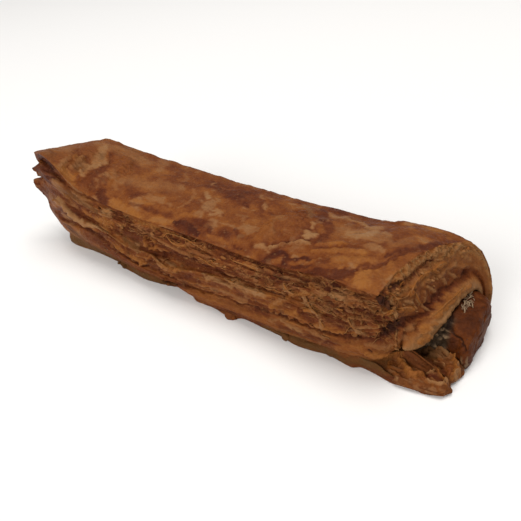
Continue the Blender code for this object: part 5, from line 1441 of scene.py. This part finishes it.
def strandShape(length, thickness, arch):
    # a short arched thread lying along X, thinner towards its ends
    spots = np.linspace(-1, 1, 7)
    turns = np.arange(5) * 2 * np.pi / 5
    rings = []
    for t in spots:
        radius = 0.5 * thickness * (1.0 - 0.55 * t * t)
        centre = np.array([0.5 * length * t, 0.14 * length * math.sin(2.2 * t), arch * (1 - t * t) - 0.1 * thickness])
        ring = np.stack([0 * turns, radius * np.cos(turns), radius * np.sin(turns)], -1)
        rings.append(ring + centre)
    grid = np.stack(rings)
    tips = np.stack([grid[0].mean(axis=0), grid[-1].mean(axis=0)])
    points = np.concatenate([grid.reshape(-1, 3), tips])
    faces = gridFaces(len(spots), 5, closedLoops=False)[:, ::-1].tolist()
    first = np.arange(5)
    last = (len(spots) - 1) * 5 + first
    for k in range(5):
        faces.append([first[k - 1], first[k], len(points) - 2])
        faces.append([last[k], last[k - 1], len(points) - 1])
    return points, faces


def grainShape(size):
    # a lumpy grain with eight sides
    points = size * 0.5 * np.array([[1.1, 0, 0], [0, 0.9, 0], [-0.9, 0, 0], [0, -1.0, 0], [0.1, 0, 0.8], [0, 0.1, -0.8]])
    faces = [[0, 1, 4], [1, 2, 4], [2, 3, 4], [3, 0, 4], [1, 0, 5], [2, 1, 5], [3, 2, 5], [0, 3, 5]]
    return points, faces


def patternObject(name, points, faces):
    mesh = bpy.data.meshes.new(name)
    mesh.from_pydata((np.asarray(points, float) * 0.001).tolist(), [], [list(map(int, face)) for face in faces])
    mesh.polygons.foreach_set("use_smooth", np.full(len(mesh.polygons), True))
    mesh.update()
    return bpy.data.objects.new(name, mesh)


def growPart(growth, name, host, pattern, material, slotName, **values):
    shape = patternObject(name + "Pattern", *pattern)
    piece = growth.apply(name, host.data, shape=shape, material=material, **values)
    patternMesh = shape.data
    bpy.data.objects.remove(shape)
    bpy.data.meshes.remove(patternMesh)
    fit(piece, material, slotName)
    print(name, len(piece.data.polygons), "faces")
    return piece


leafEdges = {"paints": ("amber", "gold", "cream"), "widest": 0.95, "thickness": 0.55, "sunk": 0.25, "spacing": 0.7,
             "seed": 5, "wander": 0.35}


def edgePaths():
    # thin raised leaf edges: the narrow pale marks of the layered front, carried onto the wrap
    eye = np.array(boardEye)
    paths = []
    for name, strength, height, softness, *stops in boardMarks:
        widest = max(stop[2] for stop in stops)
        if name not in leafEdges["paints"] or len(stops) < 2 or widest > leafEdges["widest"] or height < 0.3:
            continue
        stops = np.array(stops, float)
        lengths = np.concatenate([[0], np.cumsum(np.hypot(*np.diff(stops[:, :2], axis=0).T))])
        steps = np.arange(0, lengths[-1], leafEdges["spacing"])
        if len(steps) < 4:
            continue
        route = [along(list(zip(lengths, stops[:, axis])), steps) for axis in range(3)]
        sway = leafEdges["wander"] * cloud(flat3(route[0], route[1]), 2.2, leafEdges["seed"], 2)
        path = []
        for x, z, half in zip(route[0], route[1] + sway, route[2]):
            board = np.array([x, along(roll["frontLine"], x) - 1, z])
            start = Vector((eye + shift) * 0.001)
            heading = Vector((board - eye) * 0.001).normalized()
            hit, place, normal, face = wrap.ray_cast(start, heading)
            if hit and place.x < (72.0 + shift[0]) * 0.001:
                path.append((place - heading * 0.0001 * (1 - leafEdges["sunk"]), half))
        if len(path) > 3 and max((a[0] - b[0]).length for a, b in zip(path[1:], path[:-1])) < 0.003:
            paths.append(path)
    return paths


def edgeTree():
    growth = Growth("leafEdgeTubes")
    sides = growth.input("sides", "Int")
    thickness = growth.input("thickness", "Float")
    toast = growth.input("toast", "Float")
    cream = growth.input("cream", "Float")
    material = growth.input("material", "Material")
    profile = growth.add("GeometryNodeCurvePrimitiveCircle", {"mode": "RADIUS"}, sides, Radius=thickness)
    tube = growth.add("GeometryNodeCurveToMesh", {}, growth.host, profile, Fill_Caps=True)
    scale = tube.socket.node.inputs.get("Scale")
    if scale:
        growth.feed(scale, growth.add("GeometryNodeInputRadius", {}))
    coloured = growth.keep(tube, "toast", toast)
    patchy = growth.add("ShaderNodeTexNoise", {}, None, None, 420.0, 2.0, 0.5)
    coloured = growth.keep(coloured, "cream", (patchy - 0.42) * 4 * cream)
    coloured = growth.keep(coloured, "glaze", 0.0)
    coloured = growth.keep(coloured, "net", 0.0)
    real = growth.add("GeometryNodeRealizeInstances", {}, coloured)
    finished = growth.add("GeometryNodeSetMaterial", {}, real, Material=material)
    growth.feed(growth.outlet.inputs[0], finished)
    return growth


def addLeafEdges():
    curves = bpy.data.curves.new("leafEdgePaths", "CURVE")
    curves.dimensions = "3D"
    for path in edgePaths():
        spline = curves.splines.new("POLY")
        spline.points.add(len(path) - 1)
        for k, (place, half) in enumerate(path):
            ends = min(k, len(path) - 1 - k) / (0.25 * len(path))
            spline.points[k].co = (*place, 1.0)
            spline.points[k].radius = max(0.25, min(1.0, 0.45 + half)) * min(1.0, 0.25 + ends)
    pastry = bpy.data.materials["bakedPastry"]
    edges = edgeTree().apply("leafEdges", curves, sides=6, thickness=leafEdges["thickness"] * 0.0005, toast=0.06,
                             cream=0.8, material=pastry)
    bpy.data.curves.remove(curves)
    fit(edges, pastry, "pastry")
    print("leafEdges", len(edges.data.polygons), "faces")


looseParts = {
    "strayFlakes": {"where": "leafWhere", "density": 34000.0, "seed": 3, "small": 0.5, "large": 1.2, "spin": 0.4,
                    "tilt": 0.2, "toastLow": 0.1, "toastHigh": 0.6, "creamLow": 0.0, "creamHigh": 0.5},
    "webStrands": {"where": "webWhere", "density": 85000.0, "seed": 11, "small": 0.4, "large": 1.1, "spin": 0.8,
                   "tilt": 0.2, "toastLow": 0.0, "toastHigh": 0.3, "creamLow": 0.1, "creamHigh": 0.7},
    "mouthFrill": {"where": "frillWhere", "density": 60000.0, "seed": 23, "small": 0.4, "large": 1.0, "spin": 0.9,
                   "tilt": 0.2, "toastLow": 0.0, "toastHigh": 0.3, "creamLow": 0.1, "creamHigh": 0.8},
    "footDrips": {"where": "footWhere", "density": 130000.0, "seed": 31, "small": 0.7, "large": 2.0, "spin": 0.5,
                  "tilt": 0.5, "toastLow": 0.3, "toastHigh": 0.6, "creamLow": 0.0, "creamHigh": 0.1},
    "pepper": {"where": "noseWhere", "density": 90000.0, "seed": 41, "small": 0.4, "large": 1.1, "spin": 3.0,
               "tilt": 0.6, "toastLow": 0.0, "toastHigh": 0.0, "creamLow": 0.0, "creamHigh": 0.0},
    "meatCurds": {"where": "lipWhere", "density": 1300000.0, "seed": 53, "small": 0.4, "large": 1.2, "spin": 3.0,
                  "tilt": 0.9, "toastLow": 0.6, "toastHigh": 1.0, "creamLow": 0.5, "creamHigh": 0.9},
}


def addLooseParts():
    growth = growthTree()
    pastry = bpy.data.materials["bakedPastry"]
    pepper = Shader("pepper").finish(Base_Color=(0.020, 0.009, 0.005, 1.0), Roughness=0.7)
    flake = leafShape(2.4, 1.1, 0.14, 0.12, 0.10)
    curl = leafShape(1.8, 0.9, 0.12, 0.25, 0.15)
    growPart(growth, "strayFlakes", wrap, flake, pastry, "pastry", **looseParts["strayFlakes"])
    growPart(growth, "webStrands", wrap, strandShape(3.4, 0.30, 0.45), pastry, "pastry", **looseParts["webStrands"])
    growPart(growth, "mouthFrill", wrap, curl, pastry, "pastry", **looseParts["mouthFrill"])
    growPart(growth, "footDrips", wrap, leafShape(2.2, 1.8, 0.9, 0.3, 0.0), pastry, "pastry",
             **looseParts["footDrips"])
    growPart(growth, "pepper", filling, grainShape(0.5), pepper, "filling", **looseParts["pepper"])
    curds = Shader("fatCurds").finish(Base_Color=(0.24, 0.155, 0.085, 1.0), Roughness=0.6)
    growPart(growth, "meatCurds", filling, strandShape(2.4, 0.5, 0.9), curds, "filling", **looseParts["meatCurds"])


addLooseParts()
addLeafEdges()


# ---- floor, light and camera -----------------------------------------------

studio = {
    "azimuth": 38.7, "elevation": 36.0, "roll": -6.3, "distance": 200.7,
    "target": (1.98, -7.11, 15.3), "focal": 560.0,
}


def addCamera():
    a, e, r = (math.radians(studio[key]) for key in ("azimuth", "elevation", "roll"))
    back = Vector((math.sin(a) * math.cos(e), -math.cos(a) * math.cos(e), math.sin(e)))
    right = Vector((math.cos(a), math.sin(a), 0))
    up = back.cross(right)
    turnedRight = math.cos(r) * right + math.sin(r) * up
    turnedUp = -math.sin(r) * right + math.cos(r) * up
    place = (Vector(studio["target"]) + Vector(shift) + back * studio["distance"]) * 0.001
    data = bpy.data.cameras.new("camera")
    data.sensor_width = 36.0
    data.lens = studio["focal"] / 521 * 36.0
    data.clip_start = 0.01
    camera = bpy.data.objects.new("camera", data)
    camera.matrix_world = Matrix((
        (turnedRight.x, turnedUp.x, back.x, place.x),
        (turnedRight.y, turnedUp.y, back.y, place.y),
        (turnedRight.z, turnedUp.z, back.z, place.z),
        (0, 0, 0, 1)))
    bpy.context.scene.collection.objects.link(camera)
    bpy.context.scene.camera = camera


def addLight(name, place, target, size, power, colour):
    data = bpy.data.lights.new(name, "AREA")
    data.shape = "DISK"
    data.size = size
    data.energy = power
    data.color = colour
    light = bpy.data.objects.new(name, data)
    light.location = place
    light.rotation_euler = (Vector(place) - Vector(target)).to_track_quat("Z", "Y").to_euler()
    bpy.context.scene.collection.objects.link(light)


def addStudio():
    mesh = bpy.data.meshes.new("floor")
    half = 3.0
    mesh.from_pydata([(-half, -half, 0), (half, -half, 0), (half, half, 0), (-half, half, 0)], [], [(0, 1, 2, 3)])
    floor = bpy.data.objects.new("floor", mesh)
    shader = Shader("paleFloor")
    mesh.materials.append(shader.finish(Base_Color=(0.86, 0.86, 0.86, 1.0), Roughness=0.9))
    bpy.context.scene.collection.objects.link(floor)
    world = bpy.data.worlds.new("studioWorld")
    world.use_nodes = True
    world.node_tree.nodes["Background"].inputs["Color"].default_value = (1.0, 0.98, 0.96, 1.0)
    world.node_tree.nodes["Background"].inputs["Strength"].default_value = 0.42
    bpy.context.scene.world = world
    addLight("keyLight", (0.10, 0.30, 1.60), (0, 0, 0), 1.0, 16.8, (1.0, 0.98, 0.95))
    addLight("fillLight", (-0.20, -1.40, 0.84), (0, 0, 0.01), 1.0, 16.0, (1.0, 0.98, 0.95))


addCamera()
addStudio()
bpy.context.scene.view_settings.view_transform = "Standard"
print("camera, floor and light set")
